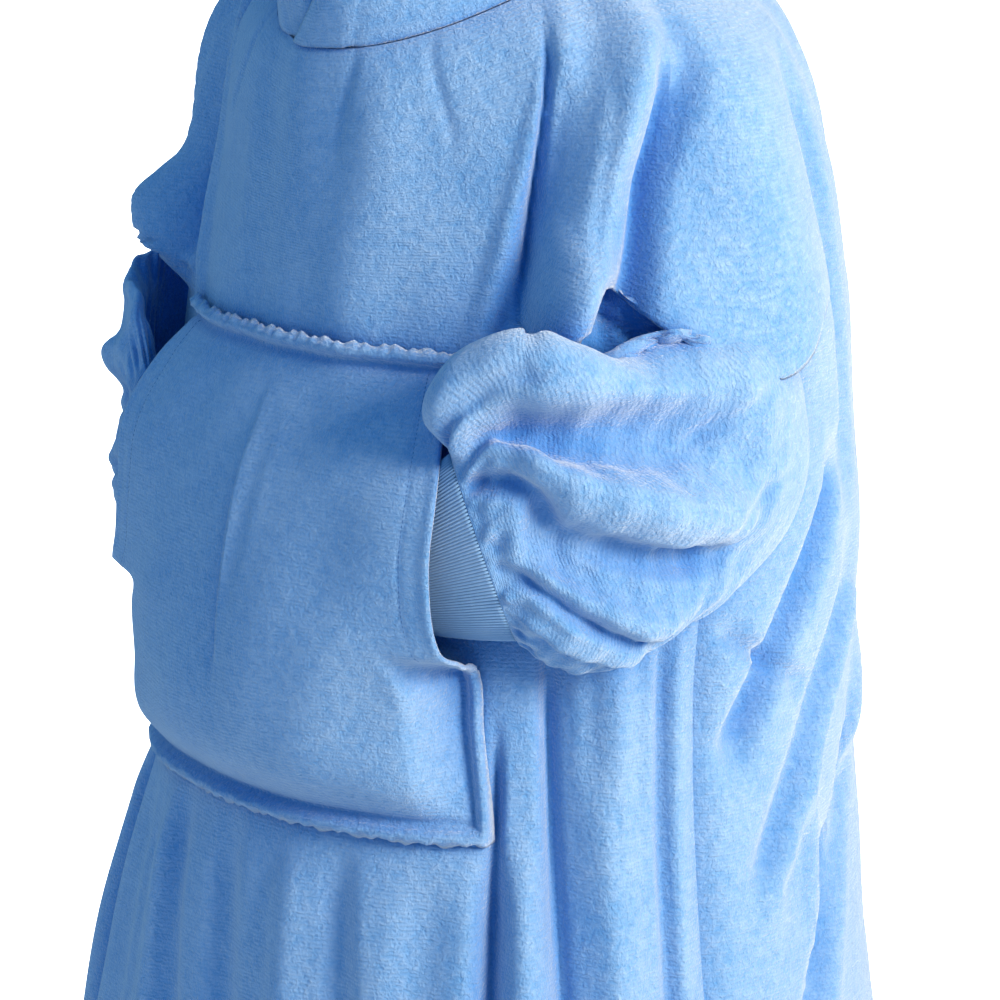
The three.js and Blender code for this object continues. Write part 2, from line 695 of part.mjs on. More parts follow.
function hoodSolid(overlap) {
  const pointAt = (angle, step) => hoodPoint(angle, step, overlap);
  const angles = neckAngles();
  const outside = [];
  const inside = [];
  for (const step of HOOD_STEPS) {
    const outerRow = [];
    const innerRow = [];
    for (const angle of angles) {
      const isSeam = angle === 180;
      const point = pointAt(angle, step);
      const nearStep = Math.min(Math.max(step, 0.02), 5.98);
      const outward = outwardAt(pointAt, isSeam ? 179.5 : angle, nearStep, 0.4, 0.02);
      if (outward.dot(point.clone().sub(new THREE.Vector3(0, -40, 110))) < 0) {
        outward.negate();
      }
      if (isSeam) {
        point.x = SEAM_GAP / 2;
        outward.setX(0).normalize();
      }
      outerRow.push(point);
      innerRow.push(point.clone().addScaledVector(outward, -WALL));
    }
    outside.push(outerRow);
    inside.push(innerRow);
  }
  return clothSolid(outside, inside, false);
}

// The same solid on the wearer's other side.
function mirrored(geometry) {
  const turned = geometry.clone();
  const positions = turned.getAttribute("position");
  for (let place = 0; place < positions.count; place += 1) {
    positions.setX(place, -positions.getX(place));
  }
  turned.setIndex(facingOut(Array.from(positions.array), Array.from(turned.index.array)));
  return turned;
}

function addCloth(group, name, geometry, color) {
  const mesh = new THREE.Mesh(geometry, new THREE.MeshStandardMaterial({ color, roughness: 0.9 }));
  mesh.name = name;
  group.add(mesh);
}

function buildHoodie() {
  const fleece = 0x5b9bd6;
  const rib = 0x7fa6cc;
  const group = new THREE.Group();
  group.name = "blanket_hoodie";
  const sleeve = sleeveSolid();
  const cuff = cuffSolid();
  addCloth(group, "front_panel", panelSolid(frontAngle, -POCKET_COLUMNS - FRONT_COLUMNS,
    POCKET_COLUMNS + FRONT_COLUMNS), fleece);
  addCloth(group, "back_panel", panelSolid(backAngle, 0, 2 * BACK_COLUMNS), fleece);
  addCloth(group, "pocket", pocketSolid(), fleece);
  addCloth(group, "sleeve_left", sleeve, fleece);
  addCloth(group, "sleeve_right", mirrored(sleeve), fleece);
  addCloth(group, "cuff_left", cuff, rib);
  addCloth(group, "cuff_right", mirrored(cuff), rib);
  addCloth(group, "hood_left", hoodSolid(HOOD_OVERLAP.out), fleece);
  addCloth(group, "hood_right", mirrored(hoodSolid(HOOD_OVERLAP.in)), fleece);
  return group;
}

export default buildHoodie();
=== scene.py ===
# %% [markdown]
# # A wearable blanket hoodie of plush fleece
#
# The garment is one colour of thick, brushed fleece. It is worn: the body hangs round an
# upright axis, the sleeves bag at the elbows, and both cuffs are in the front pocket. The
# CAD frame holds the plain shape of each cut piece. Here each piece is made again as a
# fine sheet with its folds, seams and pile.

# %% Load the frame
import math

import bmesh
import bpy
import numpy as np
from mathutils import Matrix, Vector


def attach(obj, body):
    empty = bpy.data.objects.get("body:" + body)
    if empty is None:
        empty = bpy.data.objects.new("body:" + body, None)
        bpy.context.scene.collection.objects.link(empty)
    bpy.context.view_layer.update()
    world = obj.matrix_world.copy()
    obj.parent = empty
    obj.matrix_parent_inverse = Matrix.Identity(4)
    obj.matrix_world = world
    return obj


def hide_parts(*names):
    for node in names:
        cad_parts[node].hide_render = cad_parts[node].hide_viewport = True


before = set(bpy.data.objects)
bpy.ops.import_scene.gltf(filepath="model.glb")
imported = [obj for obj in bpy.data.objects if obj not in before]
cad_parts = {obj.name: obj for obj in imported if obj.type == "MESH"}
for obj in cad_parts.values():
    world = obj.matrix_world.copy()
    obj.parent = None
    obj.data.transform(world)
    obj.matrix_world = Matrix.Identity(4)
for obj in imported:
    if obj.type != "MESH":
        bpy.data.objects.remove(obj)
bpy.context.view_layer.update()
print("nodes in the frame:", sorted(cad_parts))

# %% [markdown]
# The body of the garment is a tube of two wide panels. I describe it by rows from the neck
# to the hem. Each row has five radii, from the middle of the front to the middle of the
# back, because such cloth changes slowly between them. The same rows shape the CAD panels,
# so the fine sheets lie on them.

# %% The body's rows
WALL = 3.0
SIDE_SEAM = 77.0
HEM_LEVEL = -945.0
NECK_LEVEL = -24.0
FOLD_RADIUS = 270.0

BODY_COLUMNS = ("level", "front", "front_diagonal", "side", "back_diagonal", "back",
                "front_rise", "back_rise")
BODY_ROWS = [
    (-24, 182, 158, 128, 104, 92, -66, 26),
    (-38, 188, 176, 168, 142, 118, -66, 22),
    (-62, 192, 190, 214, 190, 150, -62, 16),
    (-100, 197, 200, 245, 214, 176, -52, 9),
    (-170, 205, 208, 268, 236, 202, -28, 3),
    (-264, 213, 226, 284, 254, 222, 0, 0),
    (-362, 222, 238, 291, 264, 238, 0, 0),
    (-460, 232, 243, 290, 271, 250, 0, 0),
    (-560, 243, 248, 285, 270, 258, 0, 0),
    (-645, 257, 266, 284, 274, 262, 0, 0),
    (-740, 274, 294, 292, 282, 268, 0, 0),
    (-850, 288, 320, 304, 296, 278, 0, 0),
    (-945, 298, 336, 314, 306, 286, 0, 0),
]


def column_of(rows, columns, name):
    place = columns.index(name)
    return np.array([row[place] for row in rows], dtype=float)


def table_value(rows, columns, name, at):
    """A smooth curve through one column of a table, read at a value of its first column."""
    keys = column_of(rows, columns, columns[0])
    values = column_of(rows, columns, name)
    if keys[-1] < keys[0]:
        keys, values = keys[::-1], values[::-1]
    at = np.clip(at, keys[0], keys[-1])
    place = np.clip(np.searchsorted(keys, at, side="right") - 1, 0, len(keys) - 2)
    slopes = np.empty(len(keys))
    slopes[1:-1] = (values[2:] - values[:-2]) / (keys[2:] - keys[:-2])
    slopes[0] = (values[1] - values[0]) / (keys[1] - keys[0])
    slopes[-1] = (values[-1] - values[-2]) / (keys[-1] - keys[-2])
    span = keys[place + 1] - keys[place]
    share = (at - keys[place]) / span
    rest = 1 - share
    return (rest * rest * (1 + 2 * share) * values[place]
            + share * rest * rest * span * slopes[place]
            + share * share * (3 - 2 * share) * values[place + 1]
            - share * share * rest * span * slopes[place + 1])


def through_four(before, start, end, after, share):
    """A smooth curve from start to end that also heeds the point on each side of them."""
    return start + 0.5 * share * (end - before + share * (
        2 * before - 5 * start + 4 * end - after + share * (3 * (start - end) + after - before)))


def through_knots(knots, position):
    """A smooth curve or surface through knots that are one step apart."""
    last = len(knots) - 1
    place = np.clip(np.floor(position).astype(int), 0, last - 1)
    share = position - place
    start, end = knots[place], knots[place + 1]
    before = np.where(place > 0, knots[np.maximum(place - 1, 0)], 2 * start - end)
    after = np.where(place < last - 1, knots[np.minimum(place + 2, last)], 2 * end - start)
    return through_four(before, start, end, after, share)


def blend(start, end, share):
    return start + (end - start) * share


def ease(start, end, value):
    """Goes smoothly from 0 to 1 between two values."""
    share = np.clip((value - start) / (end - start), 0, 1)
    return share * share * (3 - 2 * share)


def wave_sum(waves, first, second):
    """Adds up sine waves over two coordinates. Each wave is height, two rates, shift."""
    return sum(height * np.sin(first_rate * first + second_rate * second + shift)
               for height, first_rate, second_rate, shift in waves)


print("body rows:", len(BODY_ROWS), "from the neck to", HEM_LEVEL, "mm")

# %% [markdown]
# Folds are what makes a garment look worn. Each one is a soft bump or trough along a line
# on the body. The wide roll in front of the arm, the crease beside it and the creases
# under the pocket follow the picture, and their mirror images serve the hidden side. I
# list them one by one, because a simulated cloth wouldn't fall where these fall.

# %% The folds
FOLD_COLUMNS = ("name", "from_angle", "from_z", "to_angle", "to_z", "width", "depth", "fade",
                "both_sides")
FOLDS = [
    ("chest edge", 60, -60, 42.5, -279, 46, 7, 55, True),
    ("chest crease", 57, -113, 48, -250, 42, -10, 55, True),
    ("roll in front of the arm", 73, -60, 56, -240, 68, 23, 55, True),
    ("end of the roll", 59, -218, 52.5, -276, 76, 32, 30, True),
    ("crease behind the roll", 80, -90, 66, -225, 36, -12, 55, True),
    ("arm", 88, -90, 93, -290, 150, 12, 55, True),
    ("crease behind the arm", 103, -120, 110, -400, 44, -10, 55, True),
    ("elbow drape", 112, -480, 90, -680, 56, -12, 55, True),
    ("drape edge", 122, -560, 98, -860, 54, 9, 55, True),
    ("crease under the drape", 106, -700, 92, -900, 44, -13, 55, True),
    ("side seam pull", 77, -520, 77, -945, 40, -6, 55, True),
    ("side ridge", 64, -520, 64, -945, 44, 9, 55, True),
    ("side crease", 55, -520, 56, -945, 40, -10, 55, True),
    ("pocket side ridge", 49.5, -680, 49.5, -945, 36, 10, 55, True),
    ("fold below the pocket corner", 45, -690, 43, -945, 36, -14, 55, True),
    ("front valley", 35, -700, 31, -945, 60, -8, 55, True),
    ("front crease", 20, -690, 25, -945, 44, -9, 55, False),
    ("front band", 11, -690, 13, -945, 56, 8, 55, False),
    ("middle crease", -4, -690, 0, -945, 50, -8, 55, False),
    ("far crease", -18, -690, -11, -945, 44, -8, 55, False),
    ("back middle fold", 178, -330, 181, -945, 90, -10, 55, False),
    ("back fold", 152, -300, 150, -945, 80, 9, 55, True),
    ("back crease", 134, -420, 131, -945, 64, -10, 55, True),
]
SMALL_FOLDS = [
    ("sharp chest crease", 56, -90, 49.5, -262, 16, -12, 40, True),
    ("roll's own crease", 66, -110, 60, -215, 16, -4, 40, True),
    ("twist in the roll's end", 60, -245, 50, -262, 15, -7, 12, True),
    ("twist, second", 57, -262, 49, -282, 13, -6, 10, True),
    ("hollow beside the roll", 75, -110, 63, -262, 26, -13, 40, True),
    ("arm's lower edge, front", 64, -240, 77, -292, 30, 7, 25, True),
    ("arm's lower edge, back", 79, -296, 92, -268, 30, 7, 25, True),
    ("below the arm's edge, front", 62, -258, 76, -312, 20, -7, 20, True),
    ("neck gather, middle", 12, -100, 10, -150, 26, -2, 25, False),
    ("neck gather, left", 30, -85, 36, -140, 24, -2.5, 25, True),
    ("chest swell", 20, -120, 16, -285, 120, 5, 60, False),
    ("chest hollow", -14, -130, -10, -280, 90, -4, 60, False),
    ("drape line", 116, -600, 94, -830, 22, -10, 40, True),
    ("drape under the elbow", 104, -400, 84, -580, 50, -21, 45, True),
    ("drape ridge under the elbow", 112, -500, 90, -700, 42, 14, 45, True),
    ("lower drape hollow", 116, -640, 96, -860, 50, -18, 45, True),
    ("ridge beside the front crease", 61, -620, 62, -945, 30, 6, 50, True),
    ("wedge under the elbow", 82, -500, 96, -545, 34, -9, 22, True),
    ("side crease, fine", 71.5, -520, 70, -945, 20, -9, 50, True),
    ("front crease, fine", 54, -540, 55.5, -945, 18, -10, 50, True),
    ("deep fold by the pocket", 45.4, -600, 44, -945, 16, -12, 60, True),
    ("front crease, far", -29, -700, -26, -945, 34, -6, 55, False),
    ("front ridge, far", -22, -690, -19, -945, 36, 6, 55, False),
    ("back hang, left", 166, -200, 168, -700, 60, -6, 80, False),
    ("back hang, right", 194, -260, 192, -800, 66, -7, 80, False),
    ("shoulder pull", 112, -60, 128, -250, 60, -5, 60, True),
    ("back ridge by the side", 100, -640, 100, -945, 30, 6, 60, True),
]


def soft_bump(distance, width):
    share = np.clip(np.abs(distance) / (width * 0.5), 0, 1)
    return 0.5 * (1 + np.cos(np.pi * share))


def fold_height(fold, angle, z):
    row = dict(zip(FOLD_COLUMNS, fold))
    fade = row["fade"]
    start = ease(row["from_z"] + fade, row["from_z"] - fade * 0.4, z)
    end = ease(row["to_z"] - fade, row["to_z"] + fade * 0.4, z)
    reach = start if row["to_z"] <= HEM_LEVEL else start * end
    share = np.clip((z - row["from_z"]) / (row["to_z"] - row["from_z"]), 0, 1)
    middle = blend(row["from_angle"], row["to_angle"], share)
    turned = (angle - middle + 180) % 360 - 180
    return row["depth"] * reach * soft_bump(np.radians(turned) * FOLD_RADIUS, row["width"])


def folds_height(folds, angle, z):
    height = np.zeros(np.shape(angle))
    for fold in folds:
        height = height + fold_height(fold, angle, z)
        if fold[-1]:
            height = height + fold_height(fold, -angle, z)
    return height


print("folds:", len(FOLDS), "large,", len(SMALL_FOLDS), "small")

# %% [markdown]
# A point of the body is found from its angle round the body and its level. Fleece is never
# quite smooth, so a slow unevenness of a few waves is added to the small folds.

# %% The body's surface
RADII = ("front", "front_diagonal", "side", "back_diagonal", "back")
RADIUS_STEP = 45
BODY_WAVES = [(0.9, 7, 1 / 71, 1.3), (0.7, 11, -1 / 47, 0), (0.5, 17, 1 / 29, 0.4),
              (0.4, -5, 1 / 23, 0)]


def plain_radius(angle, level):
    turned = np.abs((angle + 180) % 360 - 180)
    last = len(RADII) - 1
    place = np.clip(np.floor(turned / RADIUS_STEP), 0, last - 1).astype(int)
    share = turned / RADIUS_STEP - place
    rings = np.array([table_value(BODY_ROWS, BODY_COLUMNS, name, level) for name in RADII])
    index = np.arange(rings.shape[1]) if rings.ndim > 1 else None

    def radius(offset):
        wanted = np.abs(place + offset)
        wanted = np.where(wanted > last, 2 * last - wanted, wanted)
        return rings[wanted, index] if index is not None else rings[wanted]

    return through_four(radius(-1), radius(0), radius(1), radius(2), share)


def body_z(angle, level):
    weight = np.cos(np.radians(angle)) ** 2
    front = table_value(BODY_ROWS, BODY_COLUMNS, "front_rise", level)
    back = table_value(BODY_ROWS, BODY_COLUMNS, "back_rise", level)
    return level + weight * np.where(np.cos(np.radians(angle)) > 0, front, back)


def unevenness(angle, z):
    calm = ease(NECK_LEVEL - 10, NECK_LEVEL - 70, z)
    return calm * wave_sum(BODY_WAVES, np.radians(angle), z)


def body_radius(angle, level):
    z = body_z(angle, level)
    return (plain_radius(angle, level) + folds_height(FOLDS, angle, z)
            + folds_height(SMALL_FOLDS, angle, z) + unevenness(angle, z))


def body_points(angle, level):
    radius = body_radius(angle, level)
    turn = np.radians(angle)
    return np.stack([radius * np.sin(turn), -radius * np.cos(turn), body_z(angle, level)], axis=-1)


ARMHOLE_TOP = -264.0
ARMHOLE_BOTTOM = -460.0
ARMHOLE_MIDDLE = (ARMHOLE_TOP + ARMHOLE_BOTTOM) / 2
ARMHOLE_HALF = (ARMHOLE_TOP - ARMHOLE_BOTTOM) / 2
ARMHOLE_ANGLE = 16.0


def armhole_notch(level):
    share = np.clip(np.abs(level - ARMHOLE_MIDDLE) / ARMHOLE_HALF, 0, 1)
    return ARMHOLE_ANGLE * np.sqrt(1 - share * share)


at_neck = body_points(np.array([0.0, 90.0, 180.0]), np.full(3, NECK_LEVEL))
print("neckline, front to back, mm:", at_neck.round().tolist())

# %% [markdown]
# Every piece starts as a flat grid from the bmesh operator and is then bent to its shape,
# the way a flat cut of cloth is. Its UV map keeps the flat cut's size in metres, so the
# knit's courses and the pile run with the cloth. A Solidify modifier gives the thickness.

# %% A sheet of cloth from a grid
def sheet_mesh(name, columns, rows, shape, size, inside_point=None, ring=False,
               along_cloth=None, crisp_sides=False):
    """A grid bent to a shape. The shape takes shares across and along, from 0 to 1.

    A sheet faces away from its inside point. A closed form has none.
    """
    bm = bmesh.new()
    layer = bm.loops.layers.uv.new("cloth")
    bmesh.ops.create_grid(bm, x_segments=columns, y_segments=rows, size=0.5)
    bm.verts.ensure_lookup_table()
    flat = np.array([vert.co[:2] for vert in bm.verts])
    across = flat[:, 0] + 0.5
    along = 0.5 - flat[:, 1]
    places = shape(across, along) / 1000
    down = along if along_cloth is None else along_cloth(along)
    for vert, place in zip(bm.verts, places):
        vert.co = place
    for face in bm.faces:
        for loop in face.loops:
            index = loop.vert.index
            loop[layer].uv = (across[index] * size[0], -down[index] * size[1])
    if ring:
        bmesh.ops.remove_doubles(bm, verts=bm.verts, dist=1e-6)
    bm.normal_update()
    if inside_point is None:
        bmesh.ops.recalc_face_normals(bm, faces=bm.faces)
    else:
        centre = Vector(inside_point) / 1000
        facing = sum((face.calc_center_median() - centre).dot(face.normal) for face in bm.faces)
        if facing < 0:
            bmesh.ops.reverse_faces(bm, faces=bm.faces)
    for face in bm.faces:
        face.smooth = True
    for edge in bm.edges:
        edge.smooth = not (crisp_sides and edge.is_boundary)
    mesh = bpy.data.meshes.new(name)
    bm.to_mesh(mesh)
    bm.free()
    return mesh


def add_object(mesh):
    piece = bpy.data.objects.new(mesh.name, mesh)
    bpy.context.scene.collection.objects.link(piece)
    return piece


def add_cloth(mesh):
    """Links a piece of cloth and gives it its thickness, inwards from its outer face."""
    piece = add_object(mesh)
    solid = piece.modifiers.new("thickness", "SOLIDIFY")
    solid.thickness = WALL / 1000
    solid.offset = -1.0
    solid.use_quality_normals = False
    return piece


print("cloth wall:", WALL, "mm")

# %% [markdown]
# The front and the back panel are both wide, with a shallow notch at each side for the
# armhole. They meet in the side seam, which pulls the cloth in a little. Above each sleeve
# the arm's cloth sags over the sleeve as a lap. A table gives, for each angle, how far it
# goes out and down. The lap on the far side is smaller, because that arm hangs closer.

# %% Front and back panels
SEAM_GAP = 0.02
SEAM_RADIUS = 290.0
SIDE_SHARPNESS = 8
HEM_WIDTH = 26.0
LAP_ABOVE = 78.0
LAP_UNDER = 16.0
FAR_LAP = 0.35
OVERHANG_COLUMNS = ("angle", "lip", "out", "down")
OVERHANG = [
    (0, -250, 0, 0),
    (44, -250, 0, 0),
    (48, -256, 5, 4),
    (53, -258, 15, 16),
    (58, -244, 17, 20),
    (62, -226, 12, 8),
    (69, -236, 29, 27),
    (77, -244, 32, 46),
    (84, -248, 29, 58),
    (90, -250, 22, 44),
    (97, -252, 8, 12),
    (106, -252, 0, 0),
    (180, -262, 0, 0),
]


def panel_levels(step):
    even = np.arange(NECK_LEVEL, HEM_LEVEL, -step)
    fine = np.array([0.0, 0.3, 1.0, 2.2, 3.6])
    levels = np.concatenate([even, [HEM_LEVEL], ARMHOLE_TOP - fine, ARMHOLE_BOTTOM + fine])
    return np.unique(levels)[::-1]


def seam_dip(angle, z):
    """The side seam pulls in below the armhole."""
    away = np.minimum(np.abs(np.abs(angle) - SIDE_SEAM), 30) * math.pi / 180 * FOLD_RADIUS
    return -2.2 * soft_bump(away, 14) * ease(-455, -475, z)


def hem_roll(z):
    """The hem is turned up, and its row of stitches pulls the cloth in."""
    height = z - HEM_LEVEL
    return 1.2 * soft_bump(height - 12, 24) - 1.4 * soft_bump(height - HEM_WIDTH, 7)


def neck_roll(level):
    """The cloth beside the neck seam stands up a little."""
    return 1.6 * soft_bump(level - (NECK_LEVEL - 4), 12)


def overhang_value(name, angle):
    """How the arm's cloth laps over the sleeve: a value from its table, by angle."""
    return table_value(OVERHANG, OVERHANG_COLUMNS, name, np.abs(angle))


def overhang(angle, level):
    """How far out and down the cloth moves on its way to the lip and back under it."""
    above = level - overhang_value("lip", angle)
    reach = ease(LAP_ABOVE, 0, above) * ease(-LAP_UNDER, -2, above)
    reach = reach * np.where(angle < 0, FAR_LAP, 1)
    return overhang_value("out", angle) * reach, overhang_value("down", angle) * reach


def fine_body_points(angle, level, lift=0.0):
    points = body_points(angle, level)
    z = points[..., 2]
    out, down = overhang(angle, np.broadcast_to(level, np.shape(angle)))
    radius = np.hypot(points[..., 0], points[..., 1])
    more = seam_dip(angle, z) + hem_roll(level) + neck_roll(level) + lift + out
    points[..., :2] *= ((radius + more) / radius)[..., None]
    points[..., 2] -= down
    return points


def row_level(along):
    levels = panel_levels(PANEL_STEP)
    return levels[np.rint(along * (len(levels) - 1)).astype(int)]


def level_share(along):
    """How far down the cloth each row of a panel lies."""
    return (NECK_LEVEL - row_level(along)) / (NECK_LEVEL - HEM_LEVEL)


def panel_shape(middle, half):
    """A panel's shape from its middle angle and the angle to its side seams."""
    def shape(across, along):
        level = row_level(along)
        share = across * 2 - 1
        gap = np.degrees(SEAM_GAP / 2 / SEAM_RADIUS)
        notch = (armhole_notch(level) + gap) * np.abs(share) ** SIDE_SHARPNESS
        return fine_body_points(middle + np.sign(share) * (np.abs(share) * half - notch), level)
    return shape


PANEL_STEP = 4.0
panel_rows = len(panel_levels(PANEL_STEP)) - 1
front_columns = 190
back_columns = 150
body_axis = (0, 0, -450)
front_panel = add_cloth(sheet_mesh(
    "front_panel_cloth", front_columns, panel_rows, panel_shape(0, SIDE_SEAM), (0.80, 0.92),
    body_axis, along_cloth=level_share, crisp_sides=True))
back_panel = add_cloth(sheet_mesh(
    "back_panel_cloth", back_columns, panel_rows, panel_shape(180, 180 - SIDE_SEAM),
    (1.0, 0.95), body_axis, along_cloth=level_share, crisp_sides=True))
print("front panel quads:", len(front_panel.data.polygons))
print("back panel quads:", len(back_panel.data.polygons))

# %% [markdown]
# The pocket is one patch on the front panel. It is stitched along its top, its bottom and
# its lower sides, and the cloth outside the stitches lies flat as a soft border. The hands
# hold it off the panel, most at its slanted openings. I take the panel's own points and
# move them out. On the far side the hand holds it off a little less.

# %% The pocket
POCKET_TOP = -292.0
POCKET_BOTTOM = -645.0
TOP_STITCH = -306.0
BOTTOM_STITCH = -630.0
BORDER_ANGLE = 3.2
POCKET_LIFT = 0.5
SIDE_COLUMNS = ("z", "angle")
POCKET_SIDE = [
    (-24, 52), (-84, 53), (-184, 46), (-292, 38.4), (-388, 37.2), (-437, 36.6), (-490, 38.0),
    (-520, 42.6), (-560, 43.4), (-645, 45.2), (-945, 46),
]
BULGE_COLUMNS = ("z", "middle", "opening")
POCKET_BULGE = [
    (-306, 0, 0),
    (-336, 12, 26),
    (-388, 32, 62),
    (-437, 43, 66),
    (-472, 48, 62),
    (-505, 50, 58),
    (-560, 46, 30),
    (-600, 32, 20),
    (-630, 0, 0),
]
FAR_COLUMNS = ("z", "share")
FAR_POCKET = [(-292, 1.0), (-336, 0.95), (-388, 0.82), (-437, 0.8), (-505, 0.88), (-560, 1.0),
              (-645, 1.0)]
OPENING_END = -505.0
NO_EDGE = 200.0
BORDER_PUFF = 7.5
STITCH_DIP = 2.8
POCKET_WAVES = [(0.8, 1 / 4.1, 1 / 37, 0), (0.6, 1 / 2.3, -1 / 31, 1)]
RAGGED_WAVES = [(1.2, 0.9, 1, 0), (0.8, 2.1, 0, 1), (0.4, 3.3, 0, 2)]
POCKET_SIZE = (0.40, 0.36)


def pocket_side(z):
    return table_value(POCKET_SIDE, SIDE_COLUMNS, "angle", z)


def pocket_standoff(angle, z):
    middle = table_value(POCKET_BULGE, BULGE_COLUMNS, "middle", z)
    opening = table_value(POCKET_BULGE, BULGE_COLUMNS, "opening", z)
    side = pocket_side(z)
    share = np.clip(np.abs(angle) / side, 0, 1)
    full = blend(middle, opening, share * share)
    stitched = ease(-495, -522, z)
    lift = ease(side - BORDER_ANGLE, side - BORDER_ANGLE - 9, np.abs(angle))
    standoff = np.maximum(full * blend(1, lift, stitched), 0)
    far_share = table_value(FAR_POCKET, FAR_COLUMNS, "share", z)
    standoff = standoff * np.where(angle < 0, far_share, 1)
    return np.where((z >= TOP_STITCH) | (z <= BOTTOM_STITCH), 0, standoff)


def border_distance(angle, z):
    """How far in a point is from the pocket's nearest flat edge, in mm."""
    side = (pocket_side(z) - np.abs(angle)) * math.pi / 180 * FOLD_RADIUS
    side = np.where(z < OPENING_END, side, NO_EDGE)
    return np.minimum(np.minimum(POCKET_TOP - z, z - POCKET_BOTTOM), side)


def pocket_shape(across, along):
    z = POCKET_TOP + (POCKET_BOTTOM - POCKET_TOP) * along
    angle = (across * 2 - 1) * pocket_side(z)
    inward = border_distance(angle, z)
    border = BORDER_PUFF * soft_bump(inward - 6, 18) - STITCH_DIP * soft_bump(inward - 15, 6)
    opening = np.radians(pocket_side(z) - np.abs(angle)) * SEAM_RADIUS
    rolled = ease(-318, -340, z) * ease(OPENING_END, -480, z)
    hem = rolled * (1.6 * soft_bump(opening - 3, 12) - 1.0 * soft_bump(opening - 22, 6))
    crease_place = np.radians(angle - 3) * SEAM_RADIUS - (z + 400) * 0.1
    crease = 1.8 * soft_bump(crease_place, 30) * ease(-330, -380, z) * ease(-600, -520, z)
    small = wave_sum(POCKET_WAVES, angle, z) * ease(14, 40, inward)
    lift = POCKET_LIFT + WALL + pocket_standoff(angle, z) + border + hem - crease + small
    points = fine_body_points(angle, z, lift)
    points[..., 2] += ease(16, 0, inward) * wave_sum(RAGGED_WAVES, angle, z)
    return points


pocket_columns, pocket_rows = ((150, 130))
pocket = add_cloth(sheet_mesh(
    "pocket_cloth", pocket_columns, pocket_rows, pocket_shape, POCKET_SIZE, body_axis))
print("pocket quads:", len(pocket.data.polygons))

# %% [markdown]
# A sleeve is a wide tube. It leaves the armhole behind the elbow, bags out round it and
# comes forward to the wrist. Its rings fan round the inner side like the ribs of a bent
# hose. The cloth between elbow and wrist hangs in two rolls with a deep crease between
# them, and it is gathered into the cuff. The near sleeve is bunched above its cuff as well.
# The far sleeve is a mirror image with half the folds, and it lies closer to the body.

# %% The sleeves
RING_COLUMNS = ("inner_x", "inner_y", "outer_x", "outer_y", "top", "bottom", "lean")
SLEEVE_RINGS = [
    (237, -140, 308, 10, -256, -469, 0),
    (234, -150, 312, -20, -254, -478, 2),
    (228, -160, 311, -56, -260, -489, 8),
    (220, -168, 303, -98, -272, -503, 16),
    (210, -173, 289, -140, -284, -512, 26),
    (199, -176, 264, -176, -292, -511, 36),
    (188, -180, 234, -201, -300, -503, 44),
    (176, -185, 205, -215, -353, -488, 46),
]
RING_STEPS = (1, 1.6, 2.3, 3, 3.7, 4.4, 5, 5.6, 6.2, 6.7, 7)
FAN_ANGLE = 22
SLEEVE_SIZE = (0.56, 0.26)
BODY_CLEARANCE = 4.0
BODY_TOP = -40.0
GATHER_WAVES = [(1.6, 19, 0, 0), (1.0, 31, 0, 1)]
SLEEVE_WAVES = [(0.9, 5, 5.1, 0), (0.8, -9, 8.3, 2)]
GROOVE_COLUMNS = ("name", "from_ring", "from_angle", "to_ring", "to_angle", "width", "depth")
SLEEVE_GROOVES = [
    ("hollow over the upper roll", 1.8, 80, 6.2, 36, 46, -20),
    ("upper roll", 2.2, 100, 6.2, 62, 40, 13),
    ("between the rolls, behind", 1, 130, 4, 112, 38, -14),
    ("between the rolls, in front", 4, 112, 6, 90, 42, -20),
    ("lower roll", 3, 140, 6.4, 122, 44, 12),
]
FINE_GROOVES = [
    ("under the arm's lap", -0.3, 0, 3.4, 8, 96, -21),
    ("elbow beside the lap", 0.3, 52, 2.2, 56, 64, 8),
    ("crease between the rolls, behind", 2.0, 124, 5.0, 94, 20, -15),
    ("crease between the rolls, in front", 5.2, 92, 7.2, 44, 20, -14),
    ("upper roll's edge, behind", 2.0, 106, 5.0, 74, 26, 6),
    ("upper roll's edge, in front", 5.2, 72, 7.2, 24, 24, 4),
    ("lower roll's upper edge", 3.0, 136, 6.6, 104, 16, 5),
    ("hollow beside the roll", 2.4, 66, 6.2, 28, 38, -17),
    ("lower roll's crease", 3.4, 146, 6.8, 102, 16, -12),
    ("lower roll's ridge", 3.2, 158, 6.6, 130, 20, 6),
    ("elbow crease", 1.0, 60, 3.2, 72, 12, -3.5),
    ("elbow crease, lower", 0.8, 96, 2.6, 104, 10, -3),
]
NEAR_GROOVES = [
    ("gathers above the cuff", 3.8, 6, 7.1, 4, 100, 33),
    ("loop above the cuff", 5.4, 44, 7.6, 34, 20, -9),
    ("second loop above the cuff", 4.6, 14, 7.6, 22, 16, -9),
]


def sleeve_ring(step):
    return {name: through_knots(column_of(SLEEVE_RINGS, RING_COLUMNS, name), step)
            for name in RING_COLUMNS}


def grooves_height(grooves, step, turn):
    height = np.zeros(np.shape(turn))
    for groove in grooves:
        row = dict(zip(GROOVE_COLUMNS, groove))
        reach = (ease(row["from_ring"] - 0.6, row["from_ring"] + 0.8, step)
                 * ease(row["to_ring"] + 0.4, row["to_ring"] - 0.8, step))
        share = np.clip((step - row["from_ring"]) / (row["to_ring"] - row["from_ring"]), 0, 1)
        middle = blend(row["from_angle"], row["to_angle"], share)
        away = (turn - middle + 180) % 360 - 180
        height = height + row["depth"] * reach * soft_bump(away, row["width"])
    return height


